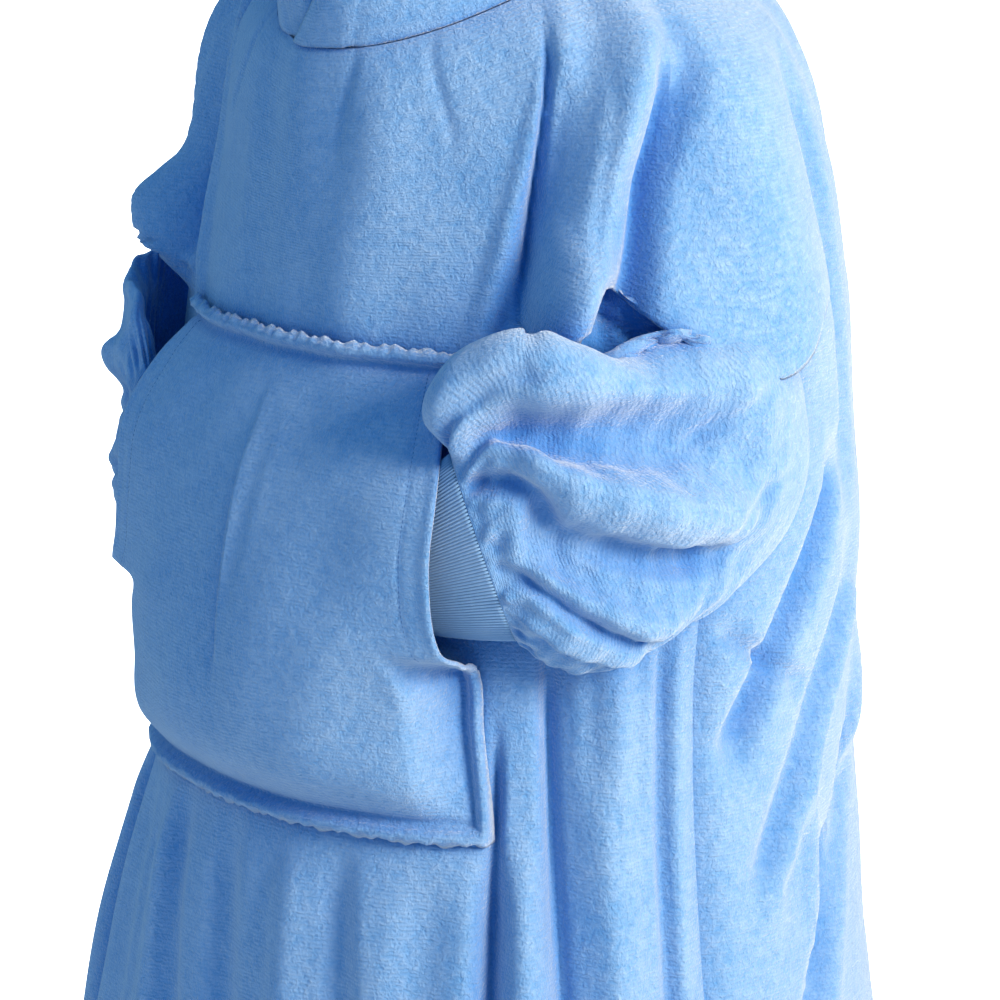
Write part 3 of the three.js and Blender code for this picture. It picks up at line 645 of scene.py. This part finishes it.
def ring_points(ring, turn, height):
    rad = np.radians(turn)
    across_x = (ring["outer_x"] - ring["inner_x"]) / 2
    across_y = (ring["outer_y"] - ring["inner_y"]) / 2
    half = math.hypot(across_x, across_y)
    tall = (ring["top"] - ring["bottom"]) / 2
    wide = 1 + height / half
    high = 1 + height / tall
    ahead = ring["lean"] / 2 * np.cos(rad)
    return np.stack([
        ring["inner_x"] + across_x * (1 + np.sin(rad) * wide) + across_y / half * ahead,
        ring["inner_y"] + across_y * (1 + np.sin(rad) * wide) - across_x / half * ahead,
        (ring["top"] + ring["bottom"]) / 2 + tall * np.cos(rad) * high], axis=-1)


def against_body(points):
    """The radius and the angle of points, and the body's radius beside each."""
    radius = np.hypot(points[..., 0], points[..., 1])
    angle = np.degrees(np.arctan2(points[..., 0], -points[..., 1]))
    return radius, angle, body_radius(angle, np.clip(points[..., 2], HEM_LEVEL, BODY_TOP))


def keep_clear(points, clearance):
    """Moves points straight out until they are clear of the body."""
    radius, _, body = against_body(points)
    points[..., :2] *= np.maximum((body + clearance) / radius, 1)[..., None]
    return points


def fanned(turn, step):
    """The rings fan round the inner side, so the top's cloth is turned back."""
    return turn + FAN_ANGLE * ease(-0.4, 3, step) * np.cos(np.radians(turn))


def armhole_points(turn, distance):
    inset = 1 - SEAM_GAP * 2 / ARMHOLE_HALF
    level = ARMHOLE_MIDDLE + ARMHOLE_HALF * inset * np.cos(np.radians(turn))
    angle = SIDE_SEAM + ARMHOLE_ANGLE * inset * np.sin(np.radians(turn))
    return fine_body_points(angle, level, distance)


def sleeve_knots(turn, fold_share):
    """The sleeve's control rings, from inside the armhole to the wrist."""
    knots = [armhole_points(turn, -WALL), armhole_points(turn, 6 + 3 * np.sin(np.radians(turn)))]
    steps = [-1.0, 0.0]
    for step in RING_STEPS:
        placed = fanned(turn, step)
        clearance = BODY_CLEARANCE + 8 * ease(2.4, 1, step)
        height = fold_share * grooves_height(SLEEVE_GROOVES, step, placed)
        knots.append(keep_clear(ring_points(sleeve_ring(step), placed, height), clearance))
        steps.append(step)
    return np.array(knots), np.array(steps)


def grid_outward(grid):
    """The way out of the cloth at each point of a grid that is closed across."""
    around = np.roll(grid, -1, axis=1) - np.roll(grid, 1, axis=1)
    along = np.gradient(grid, axis=0)
    normal = np.cross(around, along)
    length = np.linalg.norm(normal, axis=-1, keepdims=True)
    normal = normal / np.maximum(length, 1e-9)
    middle = grid.mean(axis=1, keepdims=True)
    if ((grid - middle) * normal).sum() < 0:
        normal = -normal
    return normal


def sleeve_grid(columns, rows, fine_grooves, fold_share):
    turn = np.linspace(0, 360, columns, endpoint=False)
    knots, steps = sleeve_knots(turn, fold_share)
    positions = np.linspace(0, len(knots) - 1, rows + 1)
    grid = np.array([through_knots(knots, position) for position in positions])
    step = np.interp(positions, np.arange(len(knots)), steps)[:, None]
    placed = fanned(turn[None, :], step)
    height = fold_share * grooves_height(fine_grooves, step, placed)
    gather = wave_sum(GATHER_WAVES, np.radians(placed), step) * ease(5.9, 6.9, step)
    waves = wave_sum(SLEEVE_WAVES, np.radians(placed), step) * ease(0.4, 1.6, step)
    height = (height + gather + waves) * ease(7.0, 6.7, step)
    return grid + grid_outward(grid) * height[..., None]


def tube_shape(grid):
    """Looks up the points of a grid that is closed across."""
    rows, columns = grid.shape[:2]

    def shape(across, along):
        column = np.rint(across * columns).astype(int) % columns
        row = np.rint(along * (rows - 1)).astype(int)
        return grid[row, column]
    return shape


FAR_SETTLE = [(-250, 0.7), (-300, 0.72), (-330, 0.86), (-360, 0.84), (-382, 0.66), (-400, 0.8),
              (-430, 0.96), (-520, 1.0)]
CUFF_SETTLE = 0.78
FAR_FOLDS = 0.5


def settled(points):
    """The sleeve on the far side lies closer to the body, with a notch between two lobes."""
    radius, angle, body = against_body(points)
    least = body + BODY_CLEARANCE
    share = table_value(FAR_SETTLE, FAR_COLUMNS, "share", points[..., 2])
    share = blend(1, share, ease(78, 62, np.abs(angle)))
    share = blend(share, np.minimum(share, CUFF_SETTLE), ease(52, 43, np.abs(angle)))
    past = radius - least
    settled_radius = least + np.maximum(past, 0) * share + np.minimum(past, 0)
    points[..., :2] *= (settled_radius / radius)[..., None]
    return points


def mirrored(shape, settle=False):
    def other_side(across, along):
        points = shape(across, along).copy()
        points[..., 0] *= -1
        return settled(points) if settle else points
    return other_side


def add_sleeve(name, shape, middle_x):
    return add_cloth(sheet_mesh(name, sleeve_columns, sleeve_rows, shape, SLEEVE_SIZE,
                                (middle_x, -110, -380), ring=True))


sleeve_columns, sleeve_rows = ((200, 150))
near_grid = sleeve_grid(sleeve_columns, sleeve_rows, FINE_GROOVES + NEAR_GROOVES, 1.0)
near_sleeve = tube_shape(near_grid)
far_grid = sleeve_grid(sleeve_columns, sleeve_rows, FINE_GROOVES, FAR_FOLDS)
far_sleeve = mirrored(tube_shape(far_grid), True)
sleeve_left = add_sleeve("sleeve_left_cloth", near_sleeve, 260)
sleeve_right = add_sleeve("sleeve_right_cloth", far_sleeve, -260)
print("sleeve quads:", len(sleeve_left.data.polygons))

# %% [markdown]
# The cuffs are rib knit, so their ribs are real ridges that run along the arm. The ridges
# are round and close, about 2.7 mm apart. The inside is plain, so I build each cuff as one
# closed grid, a ribbed layer and a smooth one, in place of a Solidify modifier.

# %% The cuffs
CUFF_END = {"inner_x": 133, "inner_y": -217, "outer_x": 146, "outer_y": -238, "top": -402,
            "bottom": -488, "lean": 36}
RIBS = 108
RIB_HEIGHT = 1.5
RIB_MIDDLE = 0.7
CUFF_SIZE = (0.29, 0.15)


def cuff_grid(columns, rows):
    """The cuff's ribbed outside, and then its plain inside in the other direction."""
    turn = fanned(np.linspace(0, 360, columns, endpoint=False), 8.0)
    wrist = sleeve_ring(len(SLEEVE_RINGS) - 1)
    rings = []
    for share in np.linspace(0, 1, rows + 1):
        ring = {name: blend(wrist[name], CUFF_END[name], share) for name in RING_COLUMNS}
        rings.append(keep_clear(ring_points(ring, turn, 0.0), BODY_CLEARANCE))
    grid = np.array(rings)
    ahead = grid[1, 0] - grid[0, 0]
    grid[0] += ahead / np.linalg.norm(ahead) * SEAM_GAP
    outward = grid_outward(grid)
    phase = np.arange(columns) / columns * RIBS * math.pi
    rib = np.abs(np.cos(phase)) ** 0.8
    along = np.linspace(0, 1, rows + 1)[:, None]
    swell = 1.2 * np.sin(along * math.pi) - 0.8 * ease(0.9, 1, along)
    outside = grid + outward * ((rib[None, :] - RIB_MIDDLE) * RIB_HEIGHT + swell)[..., None]
    inside = grid + outward * (swell - WALL)[..., None]
    return np.concatenate([outside, inside[::-1]])


def add_cuff(name, shape):
    return add_object(sheet_mesh(
        name, CUFF_COLUMNS, CUFF_ROWS * 2 + 2, shape, CUFF_SIZE, ring=True))


CUFF_COLUMNS, CUFF_ROWS = ((RIBS * 6, 16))
ribbed = cuff_grid(CUFF_COLUMNS, CUFF_ROWS)
cuff_form = tube_shape(np.concatenate([ribbed, ribbed[:1]]))
cuff_left = add_cuff("cuff_left_knit", cuff_form)
cuff_right = add_cuff("cuff_right_knit", mirrored(cuff_form, True))
print("cuff quads:", len(cuff_left.data.polygons))

# %% [markdown]
# No hood hangs down the back in the picture, so I take it as worn up. The picture cuts it
# off above the neck, so I keep it plain. Its two halves meet in a seam over the crown. In
# front the left half crosses over the right one at the neck, and its rolled edge shows as
# a light wedge.

# %% The hood
HOOD_COLUMNS = ("edge_x", "edge_y", "edge_z", "side_x", "side_y", "side_z", "rear_x", "rear_y",
                "rear_z", "seam_x", "seam_y", "seam_z")
HOOD_ROWS = [
    (-20, -181, -90, 160, -160, -60, 150, 92, -12, 0, 92, 2),
    (24, -186, -28, 132, -165, -6, 140, 112, 56, 0, 110, 66),
    (66, -184, 42, 146, -128, 62, 154, 140, 126, 0, 128, 136),
    (92, -182, 110, 154, -120, 138, 158, 140, 212, 0, 124, 212),
    (100, -186, 172, 150, -132, 210, 140, 84, 288, 0, 62, 282),
    (98, -186, 212, 126, -146, 262, 98, -30, 312, 0, -42, 304),
    (90, -184, 234, 90, -176, 280, 50, -158, 294, 0, -152, 294),
]
FIRST_NECK_ANGLE = -8.67
HOOD_MIDDLE = (0, -40, 110)
HOOD_SIZE = (0.42, 0.42)
EDGE_SPAN = 260
HOOD_WAVES = [(1.6, 11, 2.2, 0), (1.1, 19, -3.1, 1)]
OVERLAP_OUT = 3.4
OVERLAP_IN = -3.0


def hood_value(column, step):
    return through_knots(column_of(HOOD_ROWS, HOOD_COLUMNS, column), step)


def hood_curve(share, step):
    """A curve from the hood's front edge over the side and the rear to the middle seam."""
    edge, side, rear, seam = (
        np.stack([hood_value(place + axis, step) for axis in ("_x", "_y", "_z")], axis=-1)
        for place in ("edge", "side", "rear", "seam"))
    share = share[..., None]
    rest = 1 - share
    return (rest ** 3 * edge + 3 * rest * rest * share * side
            + 3 * rest * share * share * rear + share ** 3 * seam)


def hood_points(share, step, overlap):
    angle = FIRST_NECK_ANGLE + (180 - FIRST_NECK_ANGLE) * share
    points = hood_curve(share, step)
    neck = fine_body_points(angle, np.full(np.shape(angle), NECK_LEVEL))
    neck[..., 2] += SEAM_GAP
    pull = np.maximum(1 - step / 2.2, 0)[..., None] ** 2
    points = points + (neck - hood_curve(share, np.zeros(np.shape(step)))) * pull
    near = ease(60, 26, np.abs(points[..., 0])) * (points[..., 1] < 0) * ease(1.6, 1, step)
    points[..., 1] -= overlap * near
    return points


def hood_shape(overlap):
    def shape(across, along):
        step = along * (len(HOOD_ROWS) - 1)
        points = hood_points(across, step, overlap)
        away = points - np.array(HOOD_MIDDLE, dtype=float)
        away /= np.linalg.norm(away, axis=-1, keepdims=True)
        edge = across * EDGE_SPAN
        hem = 1.4 * soft_bump(edge - 6, 22) - 1.2 * soft_bump(edge - 27, 7)
        seam = -2.0 * ease(0.965, 1, across)
        neck = -1.0 * ease(0.12, 0, step)
        waves = wave_sum(HOOD_WAVES, across, step) * ease(0, 0.6, step) * ease(1.0, 0.9, across)
        points = points + away * (hem + seam + neck + waves)[..., None]
        points[..., 0] = np.where(across > 0.9999, SEAM_GAP / 2, points[..., 0])
        return points
    return shape


def add_hood(name, shape):
    return add_cloth(sheet_mesh(name, hood_columns, hood_rows, shape, HOOD_SIZE, HOOD_MIDDLE))


hood_columns, hood_rows = ((130, 120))
hood_left = add_hood("hood_left_cloth", hood_shape(OVERLAP_OUT))
hood_right = add_hood("hood_right_cloth", mirrored(hood_shape(OVERLAP_IN)))
print("hood quads:", len(hood_left.data.polygons))

# %% [markdown]
# Sewing thread is the garment's own colour, so the stitches show as short dimples with a
# thread in each. Rows run along the pocket's top, bottom and lower sides, along the hems of
# its two openings, and round the hem of the garment. Each stitch is a small spindle from
# the cone operator, and the rows of a piece are joined into one mesh.

# %% Rows of stitches
STITCH_PITCH = 3.6
STITCH_LENGTH = 2.7
THREAD_RADIUS = 0.42
THREAD_LIFT = 0.1
OPENING_HEM = 4.4


def along_path(points, pitch):
    """Even places along a path, each with the path's direction there."""
    steps = np.linalg.norm(np.diff(points, axis=0), axis=1)
    distance = np.concatenate([[0], np.cumsum(steps)])
    at = np.arange(pitch / 2, distance[-1], pitch)
    places, ahead = (
        np.stack([np.interp(keys, distance, points[:, axis]) for axis in range(3)], axis=1)
        for keys in (at, at + 0.5))
    return places, ahead - places


def stitch_mesh(name, paths):
    bm = bmesh.new()
    for points in paths:
        for place, ahead in zip(*along_path(points, STITCH_PITCH)):
            if np.linalg.norm(ahead) < 1e-6:
                continue
            turn = Vector(ahead).to_track_quat("Z", "Y").to_matrix().to_4x4()
            turn.translation = Vector(place) / 1000
            for end in (-1, 1):
                matrix = turn @ Matrix.Translation((0, 0, end * STITCH_LENGTH / 4000))
                if end < 0:
                    matrix = matrix @ Matrix.Rotation(math.pi, 4, "X")
                bmesh.ops.create_cone(
                    bm, cap_ends=False, segments=5, radius1=THREAD_RADIUS / 1000,
                    radius2=THREAD_RADIUS / 3500, depth=STITCH_LENGTH / 2000, matrix=matrix)
    bmesh.ops.remove_doubles(bm, verts=bm.verts, dist=1e-6)
    bmesh.ops.holes_fill(bm, edges=bm.edges, sides=5)
    bmesh.ops.recalc_face_normals(bm, faces=bm.faces)
    mesh = bpy.data.meshes.new(name)
    bm.to_mesh(mesh)
    bm.free()
    return mesh


def pocket_line(z, angle):
    """A path on the pocket, a little above its cloth's face."""
    side = pocket_side(z)
    across = (angle / side + 1) / 2
    along = (z - POCKET_TOP) / (POCKET_BOTTOM - POCKET_TOP)
    return pocket_shape(across, along)


def pocket_paths():
    paths = []
    for level, inset in ((TOP_STITCH, 0), (BOTTOM_STITCH, BORDER_ANGLE)):
        z = np.full(160, level)
        paths.append(pocket_line(z, np.linspace(-0.98, 0.98, 160) * (pocket_side(z) - inset)))
    for side in (-1, 1):
        for start, end, count, inset in ((-516, BOTTOM_STITCH, 60, BORDER_ANGLE),
                                         (TOP_STITCH, -500, 90, OPENING_HEM)):
            z = np.linspace(start, end, count)
            paths.append(pocket_line(z, side * (pocket_side(z) - inset)))
    return paths


def body_ring(level, lift, count=700):
    angle = np.linspace(0, 360, count)
    angle = np.where(angle > 180, angle - 360, angle)
    return fine_body_points(angle, np.full(count, float(level)), lift)


stitches = add_object(stitch_mesh("pocket_stitches", pocket_paths()))
hem_stitches = add_object(stitch_mesh(
    "hem_stitches", [body_ring(HEM_LEVEL + HEM_WIDTH, THREAD_LIFT)]))
print("stitch triangles:", sum(len(face.vertices) - 2 for face in stitches.data.polygons))

# %% [markdown]
# The fleece is knitted and then brushed, so fine courses show through short clumps of pile.
# Several pieces need that pattern, so it is a node group. It gives a height for the bump
# and a mask for the colour, from the cloth's own UV map and the piece's coordinates.

# %% The pile as a node group
def set_inputs(node, values):
    for name, value in values.items():
        node.inputs[name].default_value = value


def noise_fac(tree, scale, detail, roughness, distortion=0.0):
    """A noise over the piece's own coordinates."""
    node = tree.nodes.new("ShaderNodeTexNoise")
    set_inputs(node, {"Scale": scale, "Detail": detail, "Roughness": roughness,
                      "Distortion": distortion})
    place = tree.nodes.new("ShaderNodeTexCoord")
    tree.links.new(place.outputs["Object"], node.inputs["Vector"])
    return node.outputs["Fac"]


def math_node(tree, operation, first=None, second=None):
    node = tree.nodes.new("ShaderNodeMath")
    node.operation = operation
    for place, value in enumerate((first, second)):
        if isinstance(value, (int, float)):
            node.inputs[place].default_value = value
        elif value is not None:
            tree.links.new(value, node.inputs[place])
    return node.outputs[0]


def weighted_sum(tree, terms):
    """Adds up values, each times its own weight."""
    total = 0
    for value, weight in terms:
        total = math_node(tree, "ADD", total, math_node(tree, "MULTIPLY", value, weight))
    return total


def cloth_axis(tree, axis):
    """One axis of the UV map that measures the cloth in metres."""
    cloth = tree.nodes.new("ShaderNodeUVMap")
    cloth.uv_map = "cloth"
    split = tree.nodes.new("ShaderNodeSeparateXYZ")
    tree.links.new(cloth.outputs[0], split.inputs[0])
    return split.outputs[axis]


COURSE_RATE = 2090.0


def pile_group():
    group = bpy.data.node_groups.new("brushed pile", "ShaderNodeTree")
    group.interface.new_socket("Course Strength", in_out="INPUT", socket_type="NodeSocketFloat")
    group.interface.new_socket("Height", in_out="OUTPUT", socket_type="NodeSocketFloat")
    group.interface.new_socket("Nap", in_out="OUTPUT", socket_type="NodeSocketFloat")
    start = group.nodes.new("NodeGroupInput")
    end = group.nodes.new("NodeGroupOutput")
    tufts = noise_fac(group, 420.0, 3.0, 0.65, 0.8)
    clumps = noise_fac(group, 130.0, 2.0, 0.55, 0.5)
    drift = noise_fac(group, 14.0, 2.0, 0.5)
    bent = weighted_sum(group, [(cloth_axis(group, "Y"), COURSE_RATE), (clumps, 7.0)])
    course = math_node(group, "MULTIPLY", math_node(group, "SINE", bent),
                       math_node(group, "ADD", drift, 0.1))
    course = math_node(group, "MULTIPLY", course, start.outputs["Course Strength"])
    height = weighted_sum(group, [(tufts, 1.0), (clumps, 0.9), (course, 1.0)])
    nap = weighted_sum(group, [(clumps, 0.5), (tufts, 0.35), (drift, 0.35), (course, 0.5)])
    group.links.new(height, end.inputs["Height"])
    group.links.new(nap, end.inputs["Nap"])
    return group


brushed_pile = pile_group()
print("group sockets:", [item.name for item in brushed_pile.interface.items_tree])

# %% [markdown]
# Pile catches light at its tips, which the shader's sheen gives. Seen from the side it looks
# lighter than from the front, and a Layer Weight paints that in as a paler base colour, a
# painted sheen. In hollows a deeper blue is painted in as shade, where an ambient occlusion
# node finds them, and between the cuff's ribs the colour is darkened as painted shade. The
# sheen and its roughness are the same all over, so they are plain values on the shader.

# %% Fleece, rib and thread
def new_material(name):
    material = bpy.data.materials.new(name)
    material.use_nodes = True
    shader = material.node_tree.nodes["Principled BSDF"]
    return material, material.node_tree, shader


def colour_ramp(tree, factor, stops):
    ramp = tree.nodes.new("ShaderNodeValToRGB")
    for place, (position, colour) in enumerate(stops):
        element = (ramp.color_ramp.elements[place] if place < 2
                   else ramp.color_ramp.elements.new(position))
        element.position = position
        element.color = (*colour, 1)
    tree.links.new(factor, ramp.inputs["Fac"])
    return ramp.outputs["Color"]


def mix_colours(tree, factor, low, high):
    """A colour between two. Each of them is a link or three plain values."""
    mix = tree.nodes.new("ShaderNodeMix")
    mix.data_type = "RGBA"
    tree.links.new(factor, mix.inputs[0])
    for socket, colour in ((mix.inputs[6], low), (mix.inputs[7], high)):
        if isinstance(colour, tuple):
            socket.default_value = (*colour, 1)
        else:
            tree.links.new(colour, socket)
    return mix.outputs[2]


def groove_shade(tree, colour, ribs_per_metre):
    """Painted shade: darkens a rib knit between its ribs, which run along the cloth's length."""
    turn = math_node(tree, "MULTIPLY", cloth_axis(tree, "X"), math.pi * ribs_per_metre)
    ridge = math_node(tree, "ABSOLUTE", math_node(tree, "COSINE", turn))
    return mix_colours(tree, ridge, GROOVE_SHADE_BLUE, colour)


def hollow_shade(tree, colour, hollow):
    """Painted shade: mixes a deep blue into the colour where ambient occlusion finds a hollow."""
    covered = tree.nodes.new("ShaderNodeAmbientOcclusion")
    covered.samples = 6
    covered.inputs["Distance"].default_value = HOLLOW_SHADE_REACH
    open_share = math_node(tree, "POWER", covered.outputs["AO"], HOLLOW_SHADE_CONTRAST)
    return mix_colours(tree, open_share, hollow, colour)


def cloth_material(name, dark, light, painted_sheen, hollow, course_strength, bump_distance, painted_sheen_share,
                   ribs_per_metre=0):
    material, tree, shader = new_material(name)
    pile = tree.nodes.new("ShaderNodeGroup")
    pile.node_tree = brushed_pile
    pile.inputs["Course Strength"].default_value = course_strength
    body = colour_ramp(tree, pile.outputs["Nap"], [(0.42, dark), (0.78, light)])
    # painted shade: the colour is darkened toward deep blue in hollows
    body = hollow_shade(tree, body, hollow)
    # painted shade between the ribs, for the rib knit only
    if ribs_per_metre:
        body = groove_shade(tree, body, ribs_per_metre)
    # painted sheen: a Layer Weight mixes the base colour toward a pale blue at grazing angles
    weight = tree.nodes.new("ShaderNodeLayerWeight")
    weight.inputs["Blend"].default_value = 0.5
    grazing = math_node(tree, "POWER", weight.outputs["Facing"], 1.7)
    grazing = math_node(tree, "MULTIPLY", grazing, painted_sheen_share)
    tree.links.new(mix_colours(tree, grazing, body, painted_sheen), shader.inputs["Base Color"])
    bump = tree.nodes.new("ShaderNodeBump")
    set_inputs(bump, {"Strength": 0.9, "Distance": bump_distance})
    tree.links.new(pile.outputs["Height"], bump.inputs["Height"])
    tree.links.new(bump.outputs["Normal"], shader.inputs["Normal"])
    set_inputs(shader, PLUSH_FINISH)
    return material


PLUSH_FINISH = {"Roughness": 0.85, "Specular IOR Level": 0.2, "Sheen Weight": 0.9,
                "Sheen Roughness": 0.42, "Sheen Tint": (0.88, 0.94, 1, 1)}
# painted shade in hollows: its reach, its contrast and its deep blue
HOLLOW_SHADE_REACH = 0.09
HOLLOW_SHADE_CONTRAST = 2.2
HOLLOW_SHADE_BLUE = (0.03, 0.20, 0.62)
# painted shade between the cuff's ribs
GROOVE_SHADE_BLUE = (0.10, 0.22, 0.40)
DEEP_BLUE = (0.13, 0.35, 0.69)
SKY_BLUE = (0.32, 0.51, 0.78)
# painted sheen: the pale blue mixed in at grazing angles
PAINTED_SHEEN_BLUE = (0.60, 0.74, 0.90)
fleece = cloth_material("plush fleece", DEEP_BLUE, SKY_BLUE, PAINTED_SHEEN_BLUE, HOLLOW_SHADE_BLUE,
                        0.10, 0.0022, 0.4)
# the rib knit's pale colour is a painted sheen, the next one painted shade in hollows, and its rib
# rate places painted shade between ribs
rib_knit = cloth_material("rib knit", (0.20, 0.38, 0.64), (0.29, 0.47, 0.72),
                          (0.50, 0.64, 0.78), (0.17, 0.35, 0.60), 0.02, 0.0004, 0.3,
                          RIBS / CUFF_SIZE[0])
thread, thread_tree, thread_shader = new_material("sewing thread")
thread_blue = colour_ramp(thread_tree, noise_fac(thread_tree, 900.0, 2.0, 0.5),
                          [(0.3, (0.03, 0.13, 0.36)), (0.7, (0.06, 0.2, 0.48))])
thread_tree.links.new(thread_blue, thread_shader.inputs["Base Color"])
thread_shader.inputs["Roughness"].default_value = 0.6
print("materials:", [material.name for material in bpy.data.materials])

# %% [markdown]
# Now each piece gets its finish and the body that it rides on, and the CAD node that it
# stands for is hidden. The table also lists the size of each piece's flat cut.

# %% Finish and ride every piece, and hide its CAD node
PIECES = [
    (front_panel, "front_panel", 0.76, 0.93, "hung", 0.70),
    (back_panel, "back_panel", 0.99, 0.97, "hung", 0.95),
    (pocket, "pocket", 0.44, 0.36, "hung", 0.157),
    (sleeve_left, "sleeve_left", 0.60, 0.25, "gathered", 0.115),
    (sleeve_right, "sleeve_right", 0.60, 0.25, "gathered", 0.115),
    (cuff_left, "cuff_left", 0.30, 0.09, "stretched", 0.0265),
    (cuff_right, "cuff_right", 0.30, 0.09, "stretched", 0.0265),
    (hood_left, "hood_left", 0.42, 0.42, "hung", 0.149),
    (hood_right, "hood_right", 0.42, 0.42, "hung", 0.149),
]

for piece, node, width, length, held, area in PIECES:
    ribbed_piece = piece in (cuff_left, cuff_right)
    piece.data.materials.append(rib_knit if ribbed_piece else fleece)
    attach(piece, "root")
    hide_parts(node)
    cloth_area = sum(face.area for face in piece.data.polygons)
    print(piece.name, "area of the outer face:", round(cloth_area, 4), "m2")
for piece in (stitches, hem_stitches):
    piece.data.materials.append(thread)
    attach(piece, "root")

# %% [markdown]
# The garment hangs in the air as on a wearer, over a plain pale floor. A broad soft light
# comes from the upper right of the camera and a weaker one from the left. The room's own
# light is blue, because the picture's shade is bluer than its lit pile.

# %% Floor and lights
FLOOR_LEVEL = -1.45
FLOOR_SIZE = 30.0
FLOOR_GLOW = 2.2
ROOM_BLUE = (0.16, 0.54, 1, 1)
ROOM_STRENGTH = 0.52


def make_floor():
    bm = bmesh.new()
    bmesh.ops.create_grid(bm, x_segments=1, y_segments=1, size=FLOOR_SIZE / 2,
                          matrix=Matrix.Translation((0, 0, FLOOR_LEVEL)))
    mesh = bpy.data.meshes.new("floor")
    bm.to_mesh(mesh)
    bm.free()
    material, tree, shader = new_material("pale floor")
    set_inputs(shader, {"Base Color": (0.93, 0.93, 0.93, 1), "Roughness": 0.9,
                        "Emission Color": (1, 1, 1, 1)})
    seen = tree.nodes.new("ShaderNodeLightPath")
    tree.links.new(math_node(tree, "MULTIPLY", seen.outputs["Is Camera Ray"], FLOOR_GLOW),
                   shader.inputs["Emission Strength"])
    mesh.materials.append(material)
    add_object(mesh)


def area_light(name, place, aim, size, power, colour):
    data = bpy.data.lights.new(name, "AREA")
    data.shape = "SQUARE"
    data.size = size
    data.energy = power
    data.color = colour
    light = bpy.data.objects.new(name, data)
    light.location = place
    light.rotation_euler = (Vector(aim) - Vector(place)).to_track_quat("-Z", "Y").to_euler()
    bpy.context.scene.collection.objects.link(light)


make_floor()
world = bpy.data.worlds.new("white room")
world.use_nodes = True
set_inputs(world.node_tree.nodes["Background"], {"Color": ROOM_BLUE, "Strength": ROOM_STRENGTH})
bpy.context.scene.world = world
bpy.context.scene.view_settings.view_transform = "Standard"
area_light("key light", (2.9, 0.15, 0.8), (0, 0, -0.45), 1.1, 152, (1, 0.86, 0.68))
area_light("fill light", (-1.6, -2.6, 0.6), (0, 0, -0.4), 2.0, 7, (0.9, 0.95, 1.0))

# %% [markdown]
# The picture was taken from the garment's front left, a little from above, as a close view
# from the neck to just above the hem. The camera repeats that.

# %% Camera
CAMERA_TURN = math.radians(46)
CAMERA_LIFT = math.radians(14.6)
CAMERA_DISTANCE = 3.08
CAMERA_TARGET = Vector((0, 0, -0.458))

camera_data = bpy.data.cameras.new("camera")
camera_data.lens = 144
camera_data.sensor_width = 36
camera = bpy.data.objects.new("camera", camera_data)
away = Vector((math.sin(CAMERA_TURN) * math.cos(CAMERA_LIFT),
               -math.cos(CAMERA_TURN) * math.cos(CAMERA_LIFT), math.sin(CAMERA_LIFT)))
camera.location = CAMERA_TARGET + away * CAMERA_DISTANCE
camera.rotation_euler = (-away).to_track_quat("-Z", "Y").to_euler()
bpy.context.scene.collection.objects.link(camera)
bpy.context.scene.camera = camera
print("camera at", [round(value, 3) for value in camera.location])
